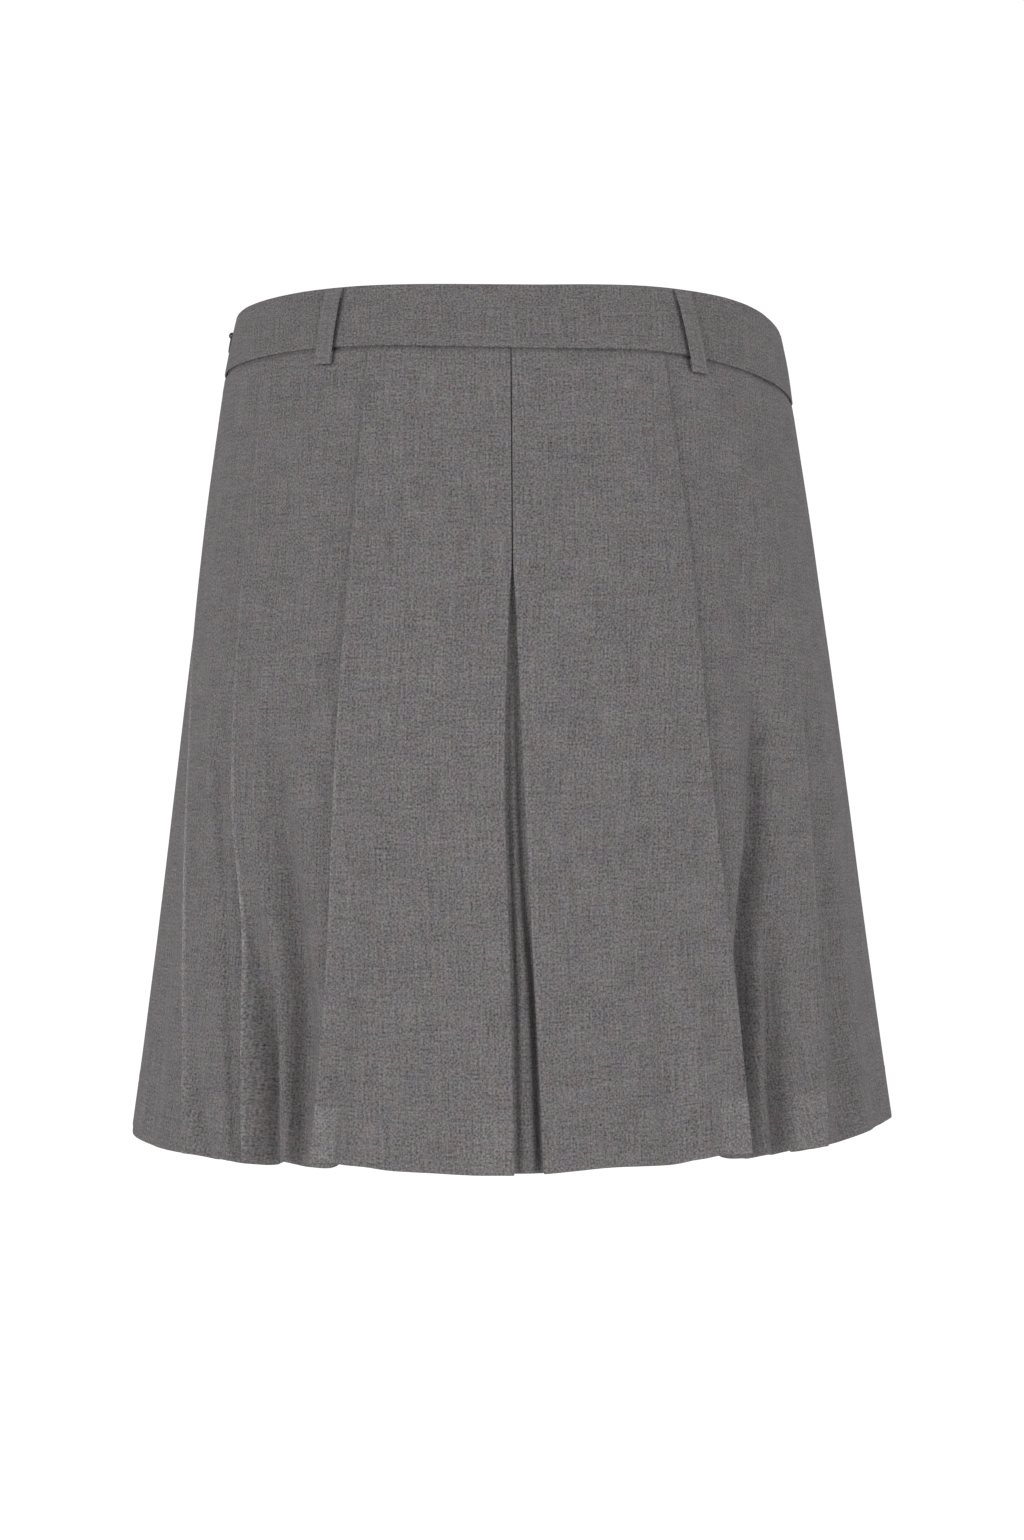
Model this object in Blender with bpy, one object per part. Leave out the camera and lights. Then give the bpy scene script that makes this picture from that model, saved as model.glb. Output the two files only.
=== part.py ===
"""Pleated mini skirt: waistband, pleated back and front, belt loops and a side zip.

The cloth is one wall of even thickness. At every level the wall follows a level section
of the worn skirt, an ellipse with its own depth at the back and at the front, and folds
under itself at each pleat. All lengths are in millimetres until a mesh is made.
The back of the skirt looks along -Y, the wearer's right is +X and up is +Z. The origin
is the middle of the waistband.
"""
import math

import bmesh
import bpy
import numpy as np
from mathutils import Matrix, Vector

MM = 0.001

# Halves of the skirt: the sign of Y that each one faces.
BACK = -1
FRONT = 1

# Worn shape. Heights from the middle of the waistband, depths from the side seams.
# (height, half width, depth at the back, depth at the front)
SECTIONS = (
    (17.0, 134.5, 98.0, 93.0),
    (-17.0, 140.5, 112.0, 103.0),
    (-50.0, 145.3, 122.0, 112.0),
    (-80.0, 149.5, 131.0, 119.0),
    (-110.0, 153.3, 139.0, 125.0),
    (-150.0, 158.5, 145.0, 130.0),
    (-210.0, 165.8, 148.0, 135.0),
    (-270.0, 173.0, 149.0, 139.0),
    (-330.0, 180.8, 150.0, 142.0),
    (-377.5, 187.5, 150.0, 145.0),
)
BAND_TOP = 17.0
BAND_BOTTOM = -17.0
HEM = -377.5
HEM_TILT = 0.0155

# How far the worn waistband rises above the level, by share of the way from the centre
# line to a side seam. (share, rise of the band's top, rise of the waist seam)
WAIST_LINE = {
    BACK: (
        (-1.00, 2.6, 7.0),
        (-0.50, 2.4, 6.5),
        (0.00, 0.0, 2.4),
        (0.40, 2.2, 3.2),
        (0.65, 1.0, -1.0),
        (0.85, -3.5, -5.0),
        (1.00, -6.8, -7.5),
    ),
    FRONT: (
        (-1.00, 2.6, 7.0),
        (-0.50, 2.0, 3.0),
        (0.00, -2.0, -1.0),
        (0.50, -3.6, -3.5),
        (1.00, -6.8, -7.5),
    ),
}

# Cloth
CLOTH = 1.1
SEAM_GAP = 0.3
PLY_PITCH_TOP = 1.5
PLY_PITCH_HEM = 1.9
FOLD_LIFT_HEM = 1.6
VALLEY_HEM = 3.2
RIDGE_HEM = 1.2
SEAM_DROP = 1.5
TURN_STEPS = 3

# Heights at which the pleats are set out, and the levels of the wall's points.
STATIONS = (-17.0, -104.0, -208.0, -300.0, -377.5)
WALL_LEVELS = (-17.0, -40.0, -72.0, -104.0, -140.0, -175.0, -215.0, -260.0, -300.0, -340.0, -377.5)

# Pleats from left to right. The fold edge is a share of the way from the centre line to
# the side seam at each station, it points to the left (-1) or to the right (1), and the
# pleat is folded under by its depth.
# (name, points to, shares at the stations, depth at the waist, depth at the hem)
BACK_PLEATS = (
    ("left side", -1, (-0.930, -0.882, -0.772, -0.690, -0.634), 27.0, 28.0),
    ("left middle", -1, (-0.652, -0.626, -0.592, -0.523, -0.486), 24.0, 10.0),
    ("left inner", -1, (-0.354, -0.343, -0.348, -0.346, -0.359), 21.0, 11.5),
    ("centre left", 1, (-0.021, -0.023, -0.032, -0.021, -0.015), 18.0, 17.0),
    ("centre right", -1, (-0.019, -0.018, -0.002, 0.016, 0.031), 18.0, 18.0),
    ("right inner", 1, (0.345, 0.343, 0.354, 0.381, 0.395), 21.0, 15.0),
    ("right middle", 1, (0.640, 0.614, 0.606, 0.594, 0.570), 30.0, 24.5),
    ("right side", 1, (0.940, 0.930, 0.915, 0.905, 0.900), 27.0, 28.0),
)
FRONT_PLEATS = (
    ("left side", -1, (-0.940, -0.915, -0.895, -0.880, -0.870), 26.0, 28.0),
    ("left middle", -1, (-0.655, -0.630, -0.615, -0.600, -0.590), 25.0, 28.0),
    ("left inner", -1, (-0.350, -0.345, -0.355, -0.372, -0.385), 20.0, 19.0),
    ("right inner", 1, (0.350, 0.345, 0.357, 0.376, 0.390), 20.0, 19.0),
    ("right middle", 1, (0.655, 0.632, 0.618, 0.605, 0.595), 25.0, 28.0),
    ("right side", 1, (0.940, 0.918, 0.900, 0.885, 0.875), 26.0, 28.0),
)
CENTRE_STITCHED_TO = -110.0
OPEN_POINTS = (0.2, 0.5, 0.8)
VALLEY_AT = (1.0, 0.15, 0.0)
RIDGE_AT = (0.0, 1.0, 0.5)

# Waistband
BAND_OUT = 0.75
BAND_THICK = 2.6
BAND_EDGE_SHARE = 0.62
BAND_EDGE_HEIGHT = 0.8
BAND_POINTS = 26
ZIP_GAP = 1.8

# Belt loops: place of the middle of the loop at its top and at its foot.
# (name, half of the skirt, arc at the top, arc at the foot)
LOOPS = (
    ("belt_loop_back_left", BACK, -88.4, -95.0),
    ("belt_loop_back_right", BACK, 78.6, 87.5),
    ("belt_loop_front_left", FRONT, -80.0, -87.0),
    ("belt_loop_front_right", FRONT, 80.0, 87.0),
)
LOOP_WIDTH = 9.3
LOOP_THICK = 1.2
# (height, clearance under the loop)
LOOP_PROFILE = (
    (17.0, 0.30),
    (13.5, 0.70),
    (7.0, 1.35),
    (-1.0, 1.50),
    (-9.0, 1.30),
    (-17.0, 0.85),
    (-21.5, 0.60),
    (-25.0, 0.50),
)

# Zip in the left side seam
TAPE_THICK = 1.0
TAPE_NEAR = 0.9
TAPE_WIDTH = 9.0
TAPE_CLEAR = 0.3
COIL_NEAR = 0.15
COIL_WIDTH = 2.0
COIL_DEEP = 1.3
COIL_STUB = 0.1
COIL_TOP = 0.8
TAPE_LEVELS = (13.5, 1.8, 0.8, -17.0, -40.0, -72.0, -104.0, -140.0)

# Slider and its pull tab. Places along the outward normal count from the section curve.
PULL_HEIGHT = 7.4
PULL_OUT = 1.55
RING_INNER = 0.85
RING_OUTER = 1.65
RING_THICK = 1.0
RING_SIDES = 16
SLIDER_OUT = -3.75
SLIDER_THICK = 2.3
SLIDER_WIDE = 7.5
SLIDER_TALL = 8.5
SLIDER_BEVEL = 0.5
TAB_THICK = 0.9
TAB_TOP = 0.45
TAB_LENGTH = 8.6
TAB_WIDE_TOP = 3.6
TAB_WIDE_FOOT = 4.6
TAB_SLOT_WIDE = 1.6
TAB_SLOT_FROM = 0.45
TAB_SLOT_TO = 2.05
TAB_CORNER_STEPS = 5

# Colours (linear), roughness and metallic value of each material
CLOTH_COLOUR = (0.155, 0.143, 0.147)
BAND_COLOUR = (0.150, 0.138, 0.142)
TAPE_COLOUR = (0.085, 0.080, 0.083)
METAL_COLOUR = (0.120, 0.115, 0.118)


def clear_scene():
    for obj in list(bpy.data.objects):
        bpy.data.objects.remove(obj, do_unlink=True)


def material(name, colour, roughness, metallic):
    mat = bpy.data.materials.new(name)
    mat.use_nodes = True
    shader = mat.node_tree.nodes["Principled BSDF"]
    shader.inputs["Base Color"].default_value = (*colour, 1.0)
    shader.inputs["Roughness"].default_value = roughness
    shader.inputs["Metallic"].default_value = metallic
    return mat


def add_object(name, mesh, mat):
    mesh.materials.append(mat)
    obj = bpy.data.objects.new(name, mesh)
    bpy.context.scene.collection.objects.link(obj)
    return obj


def closed_mesh(name, points, faces):
    """A mesh in metres from points in millimetres, with every face turned outward."""
    mesh = bpy.data.meshes.new(name)
    mesh.from_pydata([[c * MM for c in p] for p in points], [], faces)
    work = bmesh.new()
    work.from_mesh(mesh)
    bmesh.ops.triangulate(work, faces=work.faces)
    bmesh.ops.recalc_face_normals(work, faces=work.faces)
    work.to_mesh(mesh)
    work.free()
    return mesh


def between(top, hem, share):
    return top + (hem - top) * share


class Section:
    """The level section of the skirt at one height, measured along its curve."""

    STEPS = 240

    def __init__(self, height):
        table = np.array(SECTIONS)[::-1]
        self.height = height
        self.wide, deep_back, deep_front = (np.interp(height, table[:, 0], table[:, k])
                                            for k in (1, 2, 3))
        self.deep = {BACK: deep_back, FRONT: deep_front}
        self.angle = np.linspace(-0.6 * math.pi, 0.6 * math.pi, self.STEPS + 1)
        self.arc = {}
        for half in (BACK, FRONT):
            x = self.wide * np.sin(self.angle)
            y = self.deep[half] * np.cos(self.angle)
            arc = np.concatenate([[0.0], np.cumsum(np.hypot(np.diff(x), np.diff(y)))])
            self.arc[half] = arc - np.interp(0.0, self.angle, arc)
        self.quarter = {half: float(np.interp(math.pi / 2, self.angle, self.arc[half]))
                        for half in (BACK, FRONT)}
        self.share = min(max((height - BAND_BOTTOM) / (HEM - BAND_BOTTOM), 0.0), 1.0)
        self.band_share = min(max((height - BAND_BOTTOM) / (BAND_TOP - BAND_BOTTOM), 0.0), 1.0)

    def rise(self, half, arc, x):
        """How far above its level the cloth lies here: the waist line, then the hem's tilt."""
        share, top, seam = np.array(WAIST_LINE[half]).T
        at = arc / self.quarter[half]
        waist = between(np.interp(at, share, seam), np.interp(at, share, top), self.band_share)
        return float(between(waist, HEM_TILT * x, self.share))

    def place(self, half, arc, out, lift=0.0):
        """The point at an arc from the centre line, moved outward and up."""
        t = float(np.interp(arc, self.arc[half], self.angle))
        x = self.wide * math.sin(t)
        y = self.deep[half] * math.cos(t)
        nx, ny = self.deep[half] * math.sin(t), self.wide * math.cos(t)
        length = math.hypot(nx, ny)
        x += out * nx / length
        y = half * (y + out * ny / length)
        return (x, y, self.height + lift + self.rise(half, arc, x))


def at_station(values, height):
    return float(np.interp(height, STATIONS[::-1], values[::-1]))


class Pleat:
    """One fold at one level: where its edge and its inner fold lie, as arcs."""

    def __init__(self, row, half, section):
        name, self.points, shares, deep_top, deep_hem = row
        edge = at_station(shares, section.height) * section.quarter[half]
        if name.startswith("centre") and section.height >= CENTRE_STITCHED_TO:
            middle = 0.5 * (at_station(BACK_PLEATS[3][2], section.height)
                            + at_station(BACK_PLEATS[4][2], section.height))
            edge = middle * section.quarter[half] - 0.5 * SEAM_GAP * self.points
        depth = between(deep_top, deep_hem, section.share)
        self.edge = edge - self.points * CLOTH / 2
        self.inner = self.edge - self.points * depth
        self.middle = (self.edge + self.inner) / 2


def cloth_runs(section, half, rows):
    """The cloth's path at one level as runs to and fro, each a list of (arc, out)."""
    share = section.share
    pitch = between(PLY_PITCH_TOP, PLY_PITCH_HEM, share)
    lift = FOLD_LIFT_HEM * share
    low = -2 * pitch
    valley = -VALLEY_HEM * share ** 1.5
    ridge = RIDGE_HEM * share
    side = section.quarter[half] - SEAM_GAP / 2
    pleats = [Pleat(row, half, section) for row in rows]
    runs = []
    run = [(-side, -SEAM_DROP)]
    for pleat in pleats + [None]:
        if pleat is None:
            entry = [(side, -SEAM_DROP)]
        elif pleat.points > 0:
            entry = [(pleat.inner, 0.0), (pleat.middle, lift / 2), (pleat.edge, lift)]
        else:
            entry = [(pleat.edge, low), (pleat.middle, low), (pleat.inner, low)]
        (arc0, out0), (arc1, out1) = run[-1], entry[0]
        for at, dip, rise in zip(OPEN_POINTS, VALLEY_AT, RIDGE_AT):
            mirrored = out1 < out0
            across = 1 - at if mirrored else at
            dip_here = valley * dip if min(out0, out1) < -pitch else 0.0
            rise_here = ridge * rise
            run.append((between(arc0, arc1, across),
                        between(out0, out1, across) + dip_here + rise_here))
        if out1 < out0:
            run[-len(OPEN_POINTS):] = run[-len(OPEN_POINTS):][::-1]
        run += entry
        runs.append(run)
        if pleat is None:
            break
        back = [(pleat.edge, lift - pitch), (pleat.middle, lift / 2 - pitch), (pleat.inner, -pitch)]
        ahead = [(pleat.edge, lift), (pleat.middle, lift / 2), (pleat.inner, 0.0)]
        if pleat.points > 0:
            ahead = [(pleat.inner, low), (pleat.middle, low), (pleat.edge, low)]
        else:
            back = back[::-1]
        runs.append(back)
        run = ahead
    return runs


def trace(runs):
    """Points of the path with the direction of the cloth's right side at each one."""
    path = []
    for k, run in enumerate(runs):
        heading = 1 if run[-1][0] > run[0][0] else -1
        first = 0 if k == 0 else 1
        last = len(run) if k == len(runs) - 1 else len(run) - 1
        path += [(arc, out, 0.0, float(heading)) for arc, out in run[first:last]]
        if k < len(runs) - 1:
            (arc, out), (_, out_next) = run[-1], runs[k + 1][0]
            radius = abs(out_next - out) / 2
            turn = 1 if out_next > out else -1
            for step in range(TURN_STEPS + 1):
                a = math.pi * step / TURN_STEPS
                path.append((arc - heading * radius * (1 - math.sin(a)),
                             (out + out_next) / 2 - turn * radius * math.cos(a),
                             -turn * math.sin(a), heading * math.cos(a)))
    return path


def wall_mesh(name, rows):
    """Closed wall from rows of (outer points, inner points), the same count in each."""
    count = len(rows[0][0])
    points = [p for outer, inner in rows for p in outer + inner[::-1]]
    ring = 2 * count
    faces = []
    for r in range(len(rows) - 1):
        for k in range(ring):
            n = (k + 1) % ring
            faces.append((r * ring + k, r * ring + n, (r + 1) * ring + n, (r + 1) * ring + k))
    for start in (0, (len(rows) - 1) * ring):
        for k in range(count - 1):
            faces.append((start + k, start + k + 1, start + ring - 2 - k, start + ring - 1 - k))
    return closed_mesh(name, points, faces)


def skirt_half(name, half, pleats, mat):
    """One pleated half, from the waist seam to the hem and from side seam to side seam."""
    rows = []
    for height in WALL_LEVELS:
        section = Section(height)
        lift = -SEAM_GAP / 2 if height == WALL_LEVELS[0] else 0.0
        outer, inner = [], []
        for arc, out, along, across in trace(cloth_runs(section, half, pleats)):
            step = CLOTH / 2
            outer.append(section.place(half, arc + step * along, out + step * across, lift))
            inner.append(section.place(half, arc - step * along, out - step * across, lift))
        rows.append((outer, inner))
    return add_object(name, wall_mesh(name, rows), mat)


def waistband_half(name, half, mat):
    """Half of the folded band, with rounded edges and room for the zip at the left."""
    rows = []
    middle = BAND_OUT - BAND_THICK / 2
    levels = (
        (BAND_BOTTOM, SEAM_GAP / 2, BAND_EDGE_SHARE),
        (BAND_BOTTOM, BAND_EDGE_HEIGHT, 1.0),
        (0.0, 0.0, 1.0),
        (BAND_TOP, -BAND_EDGE_HEIGHT, 1.0),
        (BAND_TOP, 0.0, BAND_EDGE_SHARE),
    )
    for height, lift, share in levels:
        section = Section(height)
        left = ZIP_GAP / 2 - section.quarter[half]
        right = section.quarter[half] - SEAM_GAP / 2
        arcs = np.linspace(left, right, BAND_POINTS)
        step = BAND_THICK / 2 * share
        rows.append(([section.place(half, a, middle + step, lift) for a in arcs],
                     [section.place(half, a, middle - step, lift) for a in arcs]))
    return add_object(name, wall_mesh(name, rows), mat)


def belt_loop(name, half, arc_top, arc_foot, mat):
    """A folded strip over the band, sewn at its top and, below the seam, at its foot."""
    rows = []
    top, foot = LOOP_PROFILE[0][0], LOOP_PROFILE[-1][0]
    for height, clearance in LOOP_PROFILE:
        section = Section(height)
        arc = between(arc_top, arc_foot, (top - height) / (top - foot))
        arcs = (arc - LOOP_WIDTH / 2, arc, arc + LOOP_WIDTH / 2)
        under = BAND_OUT + clearance
        rows.append(([section.place(half, a, under + LOOP_THICK) for a in arcs],
                     [section.place(half, a, under) for a in arcs]))
    return add_object(name, wall_mesh(name, rows), mat)


def cloth_out(half, pleats, section, from_seam):
    """How far out the skirt's cloth lies at a distance from its left side seam."""
    run = cloth_runs(section, half, pleats)[0]
    arcs, outs = zip(*run)
    return float(np.interp(from_seam - section.quarter[half], arcs, outs))


def zip_tape(name, half, pleats, mat):
    """One tape with its half of the coil, along the inside of the left side seam."""
    points, faces = [], []
    for height in TAPE_LEVELS:
        section = Section(height)
        coil = height <= COIL_TOP
        near = COIL_NEAR if coil else TAPE_NEAR
        deep = COIL_DEEP if coil else COIL_STUB
        far = TAPE_NEAR + TAPE_WIDTH
        face = {}
        for place in (near, COIL_WIDTH, far):
            cloth = cloth_out(half, pleats, section, place) if height <= BAND_BOTTOM else -SEAM_DROP
            face[place] = cloth - CLOTH / 2 - TAPE_CLEAR
        outline = (
            (near, face[near]),
            (far, face[far]),
            (far, face[far] - TAPE_THICK),
            (COIL_WIDTH, face[COIL_WIDTH] - TAPE_THICK),
            (COIL_WIDTH, face[COIL_WIDTH] - TAPE_THICK - deep),
            (near, face[near] - TAPE_THICK - deep),
        )
        for place, out in outline:
            points.append(section.place(half, place - section.quarter[half], out))
    ring = 6
    levels = len(TAPE_LEVELS)
    for r in range(levels - 1):
        for k in range(ring):
            n = (k + 1) % ring
            faces.append((r * ring + k, r * ring + n, (r + 1) * ring + n, (r + 1) * ring + k))
    faces.append(tuple(range(ring)))
    faces.append(tuple(range((levels - 1) * ring, levels * ring)))
    return add_object(name, closed_mesh(name, points, faces), mat)


def side_frame():
    """Axis of the pull tab: its place, and the lean of the band at the left side."""
    top, foot = Section(BAND_TOP), Section(BAND_BOTTOM)
    lean = math.atan2(foot.wide - top.wide, BAND_TOP - BAND_BOTTOM)
    x, y, z = Section(PULL_HEIGHT).place(BACK, -Section(PULL_HEIGHT).quarter[BACK], 0.0)
    place = Vector((x - PULL_OUT * math.cos(lean), 0.0, z + PULL_OUT * math.sin(lean))) * MM
    return place, lean


def box(work, low, high):
    """A box in a bmesh between two corners, in millimetres."""
    size = [high[k] - low[k] for k in range(3)]
    middle = [(high[k] + low[k]) / 2 for k in range(3)]
    matrix = Matrix.Translation(Vector(middle) * MM) @ Matrix.Diagonal([s * MM for s in size] + [1.0])
    return bmesh.ops.create_cube(work, size=1.0, matrix=matrix)["verts"]


def extruded(work, outline, holes, low, high):
    """A flat plate in a bmesh: outline and holes are (x, z) loops, thick along Y."""
    loops = [outline] + holes
    edges = []
    for loop in loops:
        verts = [work.verts.new((x * MM, low * MM, z * MM)) for x, z in loop]
        edges += [work.edges.new((verts[k], verts[(k + 1) % len(verts)])) for k in range(len(verts))]
    filled = bmesh.ops.triangle_fill(work, edges=edges, use_beauty=True)
    faces = [f for f in filled["geom"] if isinstance(f, bmesh.types.BMFace)]
    grown = bmesh.ops.extrude_face_region(work, geom=faces)
    moved = [v for v in grown["geom"] if isinstance(v, bmesh.types.BMVert)]
    bmesh.ops.translate(work, verts=moved, vec=(0.0, (high - low) * MM, 0.0))
    bmesh.ops.recalc_face_normals(work, faces=work.faces)


def mesh_from(work, name):
    mesh = bpy.data.meshes.new(name)
    work.to_mesh(mesh)
    work.free()
    return mesh


def circle(radius, sides, start=0.0, sweep=2 * math.pi):
    steps = [start + sweep * k / sides for k in range(sides)]
    return [(radius * math.cos(a), radius * math.sin(a)) for a in steps]


def zip_slider(mat):
    """Slider body inside the seam, its neck through the seam and the ring outside."""
    place, lean = side_frame()
    body_x = PULL_OUT - SLIDER_OUT
    body = bmesh.new()
    box(body, (body_x, -SLIDER_WIDE / 2, -SLIDER_TALL / 2),
        (body_x + SLIDER_THICK, SLIDER_WIDE / 2, SLIDER_TALL / 2))
    bmesh.ops.bevel(body, geom=list(body.edges), offset=SLIDER_BEVEL * MM, affect="EDGES",
                    segments=2, profile=0.5)
    neck = bmesh.new()
    half_angle = math.radians(40)
    rim = circle(RING_OUTER, RING_SIDES - 4, half_angle, 2 * math.pi - 2 * half_angle)
    rim.append((RING_OUTER * math.cos(half_angle), -RING_OUTER * math.sin(half_angle)))
    root = body_x + SLIDER_THICK / 2
    outline = rim + [(root, -RING_OUTER * math.sin(half_angle)),
                     (root, RING_OUTER * math.sin(half_angle))]
    extruded(neck, outline, [circle(RING_INNER, RING_SIDES)], -RING_THICK / 2, RING_THICK / 2)
    slider = add_object("zip_slider", mesh_from(body, "zip_slider"), mat)
    helper = bpy.data.objects.new("zip_neck", mesh_from(neck, "zip_neck"))
    bpy.context.scene.collection.objects.link(helper)
    join = slider.modifiers.new("neck", "BOOLEAN")
    join.operation = "UNION"
    join.solver = "EXACT"
    join.object = helper
    graph = bpy.context.evaluated_depsgraph_get()
    joined = bpy.data.meshes.new_from_object(slider.evaluated_get(graph))
    slider.modifiers.clear()
    slider.data = joined
    bpy.data.objects.remove(helper, do_unlink=True)
    slider.location = place
    slider.rotation_euler = (0.0, lean, 0.0)
    return slider


def zip_pull(mat):
    """Flat tab that hangs on the slider's ring by the bar above its slot."""
    place, lean = side_frame()
    half_top, half_foot = TAB_WIDE_TOP / 2, TAB_WIDE_FOOT / 2
    foot = [(half_foot * math.cos(a), -TAB_LENGTH + half_foot + half_foot * math.sin(a))
            for a in (math.pi + math.pi * k / (2 * TAB_CORNER_STEPS)
                      for k in range(2 * TAB_CORNER_STEPS + 1))]
    outline = foot + [(half_top, TAB_TOP), (-half_top, TAB_TOP)]
    slot_half = TAB_SLOT_WIDE / 2
    slot = [(-slot_half, -TAB_SLOT_FROM), (slot_half, -TAB_SLOT_FROM),
            (slot_half, -TAB_SLOT_TO), (-slot_half, -TAB_SLOT_TO)]
    work = bmesh.new()
    extruded(work, outline, [slot], -TAB_THICK / 2, TAB_THICK / 2)
    bmesh.ops.rotate(work, verts=work.verts, cent=(0, 0, 0),
                     matrix=Matrix.Rotation(math.pi / 2, 3, "Z"))
    tab = add_object("zip_pull", mesh_from(work, "zip_pull"), mat)
    tab.location = place
    tab.rotation_euler = (0.0, lean, 0.0)
    return tab


def main():
    clear_scene()
    cloth = material("grey_suiting", CLOTH_COLOUR, 0.85, 0.0)
    band = material("grey_suiting_band", BAND_COLOUR, 0.85, 0.0)
    strip = material("grey_suiting_loops", BAND_COLOUR, 0.85, 0.0)
    tape = material("zip_tape_grey", TAPE_COLOUR, 0.8, 0.0)
    metal = material("zip_metal", METAL_COLOUR, 0.45, 0.8)
    skirt_half("skirt_back", BACK, BACK_PLEATS, cloth)
    skirt_half("skirt_front", FRONT, FRONT_PLEATS, cloth)
    waistband_half("waistband_back", BACK, band)
    waistband_half("waistband_front", FRONT, band)
    for name, half, arc_top, arc_foot in LOOPS:
        belt_loop(name, half, arc_top, arc_foot, strip)
    zip_tape("zip_tape_back", BACK, BACK_PLEATS, tape)
    zip_tape("zip_tape_front", FRONT, FRONT_PLEATS, tape)
    zip_slider(metal)
    zip_pull(metal)


main()
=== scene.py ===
# %% [markdown]
# # A pleated mini skirt in grey suiting
# The real skirt is wool-look suiting, cut in panels, pressed into knife pleats, sewn to a folded
# waistband and closed by a zip in the left side seam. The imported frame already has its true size
# and place, so this lesson dresses it: each cloth solid gets a thin shell with its creases, the
# zip gets its tape and coil, and every surface gets a material with its own weave or finish.

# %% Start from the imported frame
import math

import bmesh
import bpy
import numpy as np
from mathutils import Matrix, Vector


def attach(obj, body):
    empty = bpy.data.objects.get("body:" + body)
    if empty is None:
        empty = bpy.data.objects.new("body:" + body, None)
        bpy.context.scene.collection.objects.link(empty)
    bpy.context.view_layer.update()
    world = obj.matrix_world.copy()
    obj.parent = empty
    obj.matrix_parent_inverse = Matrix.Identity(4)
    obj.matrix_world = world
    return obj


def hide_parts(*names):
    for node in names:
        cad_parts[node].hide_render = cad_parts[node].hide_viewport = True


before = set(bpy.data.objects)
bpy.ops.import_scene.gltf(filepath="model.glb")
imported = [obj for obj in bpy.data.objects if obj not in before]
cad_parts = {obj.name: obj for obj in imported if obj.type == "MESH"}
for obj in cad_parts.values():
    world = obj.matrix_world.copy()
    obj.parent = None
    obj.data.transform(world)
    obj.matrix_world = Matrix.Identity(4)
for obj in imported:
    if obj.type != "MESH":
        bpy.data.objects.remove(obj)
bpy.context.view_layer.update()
print("frame nodes:", sorted(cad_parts))

# %% [markdown]
# ## The worn shape
# A worn skirt has no flat side. Its shape could be copied from the solids point by point, but
# then no crease could be moved by hand. Here it is described as the maker of a dress stand would:
# an ellipse at each level, with one depth for the back and one for the front. Lengths are in
# millimetres, the back looks along -Y, and a place on the cloth is an arc from the centre line.

# %% Level sections and the waist line
MM = 0.001
BACK, FRONT = -1, 1
BAND_TOP, BAND_BOTTOM, HEM = 17.0, -17.0, -377.5
HEM_TILT = 0.0155
# (height, half width, depth at the back, depth at the front)
SECTIONS = (
    (17.0, 134.5, 98.0, 93.0),
    (-17.0, 140.5, 112.0, 103.0),
    (-50.0, 145.3, 122.0, 112.0),
    (-80.0, 149.5, 131.0, 119.0),
    (-110.0, 153.3, 139.0, 125.0),
    (-150.0, 158.5, 145.0, 130.0),
    (-210.0, 165.8, 148.0, 135.0),
    (-270.0, 173.0, 149.0, 139.0),
    (-330.0, 180.8, 150.0, 142.0),
    (-377.5, 187.5, 150.0, 145.0),
)
# (share of the way from the centre to a side, rise of the band's top, rise of the waist seam)
WAIST_LINE = {
    BACK: ((-1.00, 2.6, 7.0), (-0.50, 2.4, 6.5), (0.00, 0.0, 2.4), (0.40, 2.2, 3.2),
           (0.65, 1.0, -1.0), (0.85, -3.5, -5.0), (1.00, -6.8, -7.5)),
    FRONT: ((-1.00, 2.6, 7.0), (-0.50, 2.0, 3.0), (0.00, -2.0, -1.0), (0.50, -3.6, -3.5),
            (1.00, -6.8, -7.5)),
}


def smooth(at, places, values):
    """A smooth curve through a short table of rising places, read at one or many places."""
    places, values = np.asarray(places, float), np.asarray(values, float)
    slopes = np.gradient(values, places)
    at = np.clip(at, places[0], places[-1])
    k = np.clip(np.searchsorted(places, at, side="right") - 1, 0, len(places) - 2)
    width = places[k + 1] - places[k]
    t = (at - places[k]) / width
    return (values[k] * (1 + 2 * t) * (1 - t) ** 2 + values[k + 1] * t * t * (3 - 2 * t)
            + width * (slopes[k] * t * (1 - t) ** 2 - slopes[k + 1] * t * t * (1 - t)))


def ease(t):
    """0 to 1 with a soft start and end."""
    t = np.clip(t, 0.0, 1.0)
    return t * t * (3 - 2 * t)


def mix(a, b, share):
    return a + (b - a) * share


print("level sections:", len(SECTIONS), "from", HEM, "to", BAND_TOP, "mm")

# %% [markdown]
# A place on the cloth is given by its height, its arc from the centre line and how far it stands
# out. A cylinder could be bent with modifiers, but a short class with the two half ellipses gives
# every piece the same shape to lie on, so the band, the loops and the zip follow the skirt.

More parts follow.
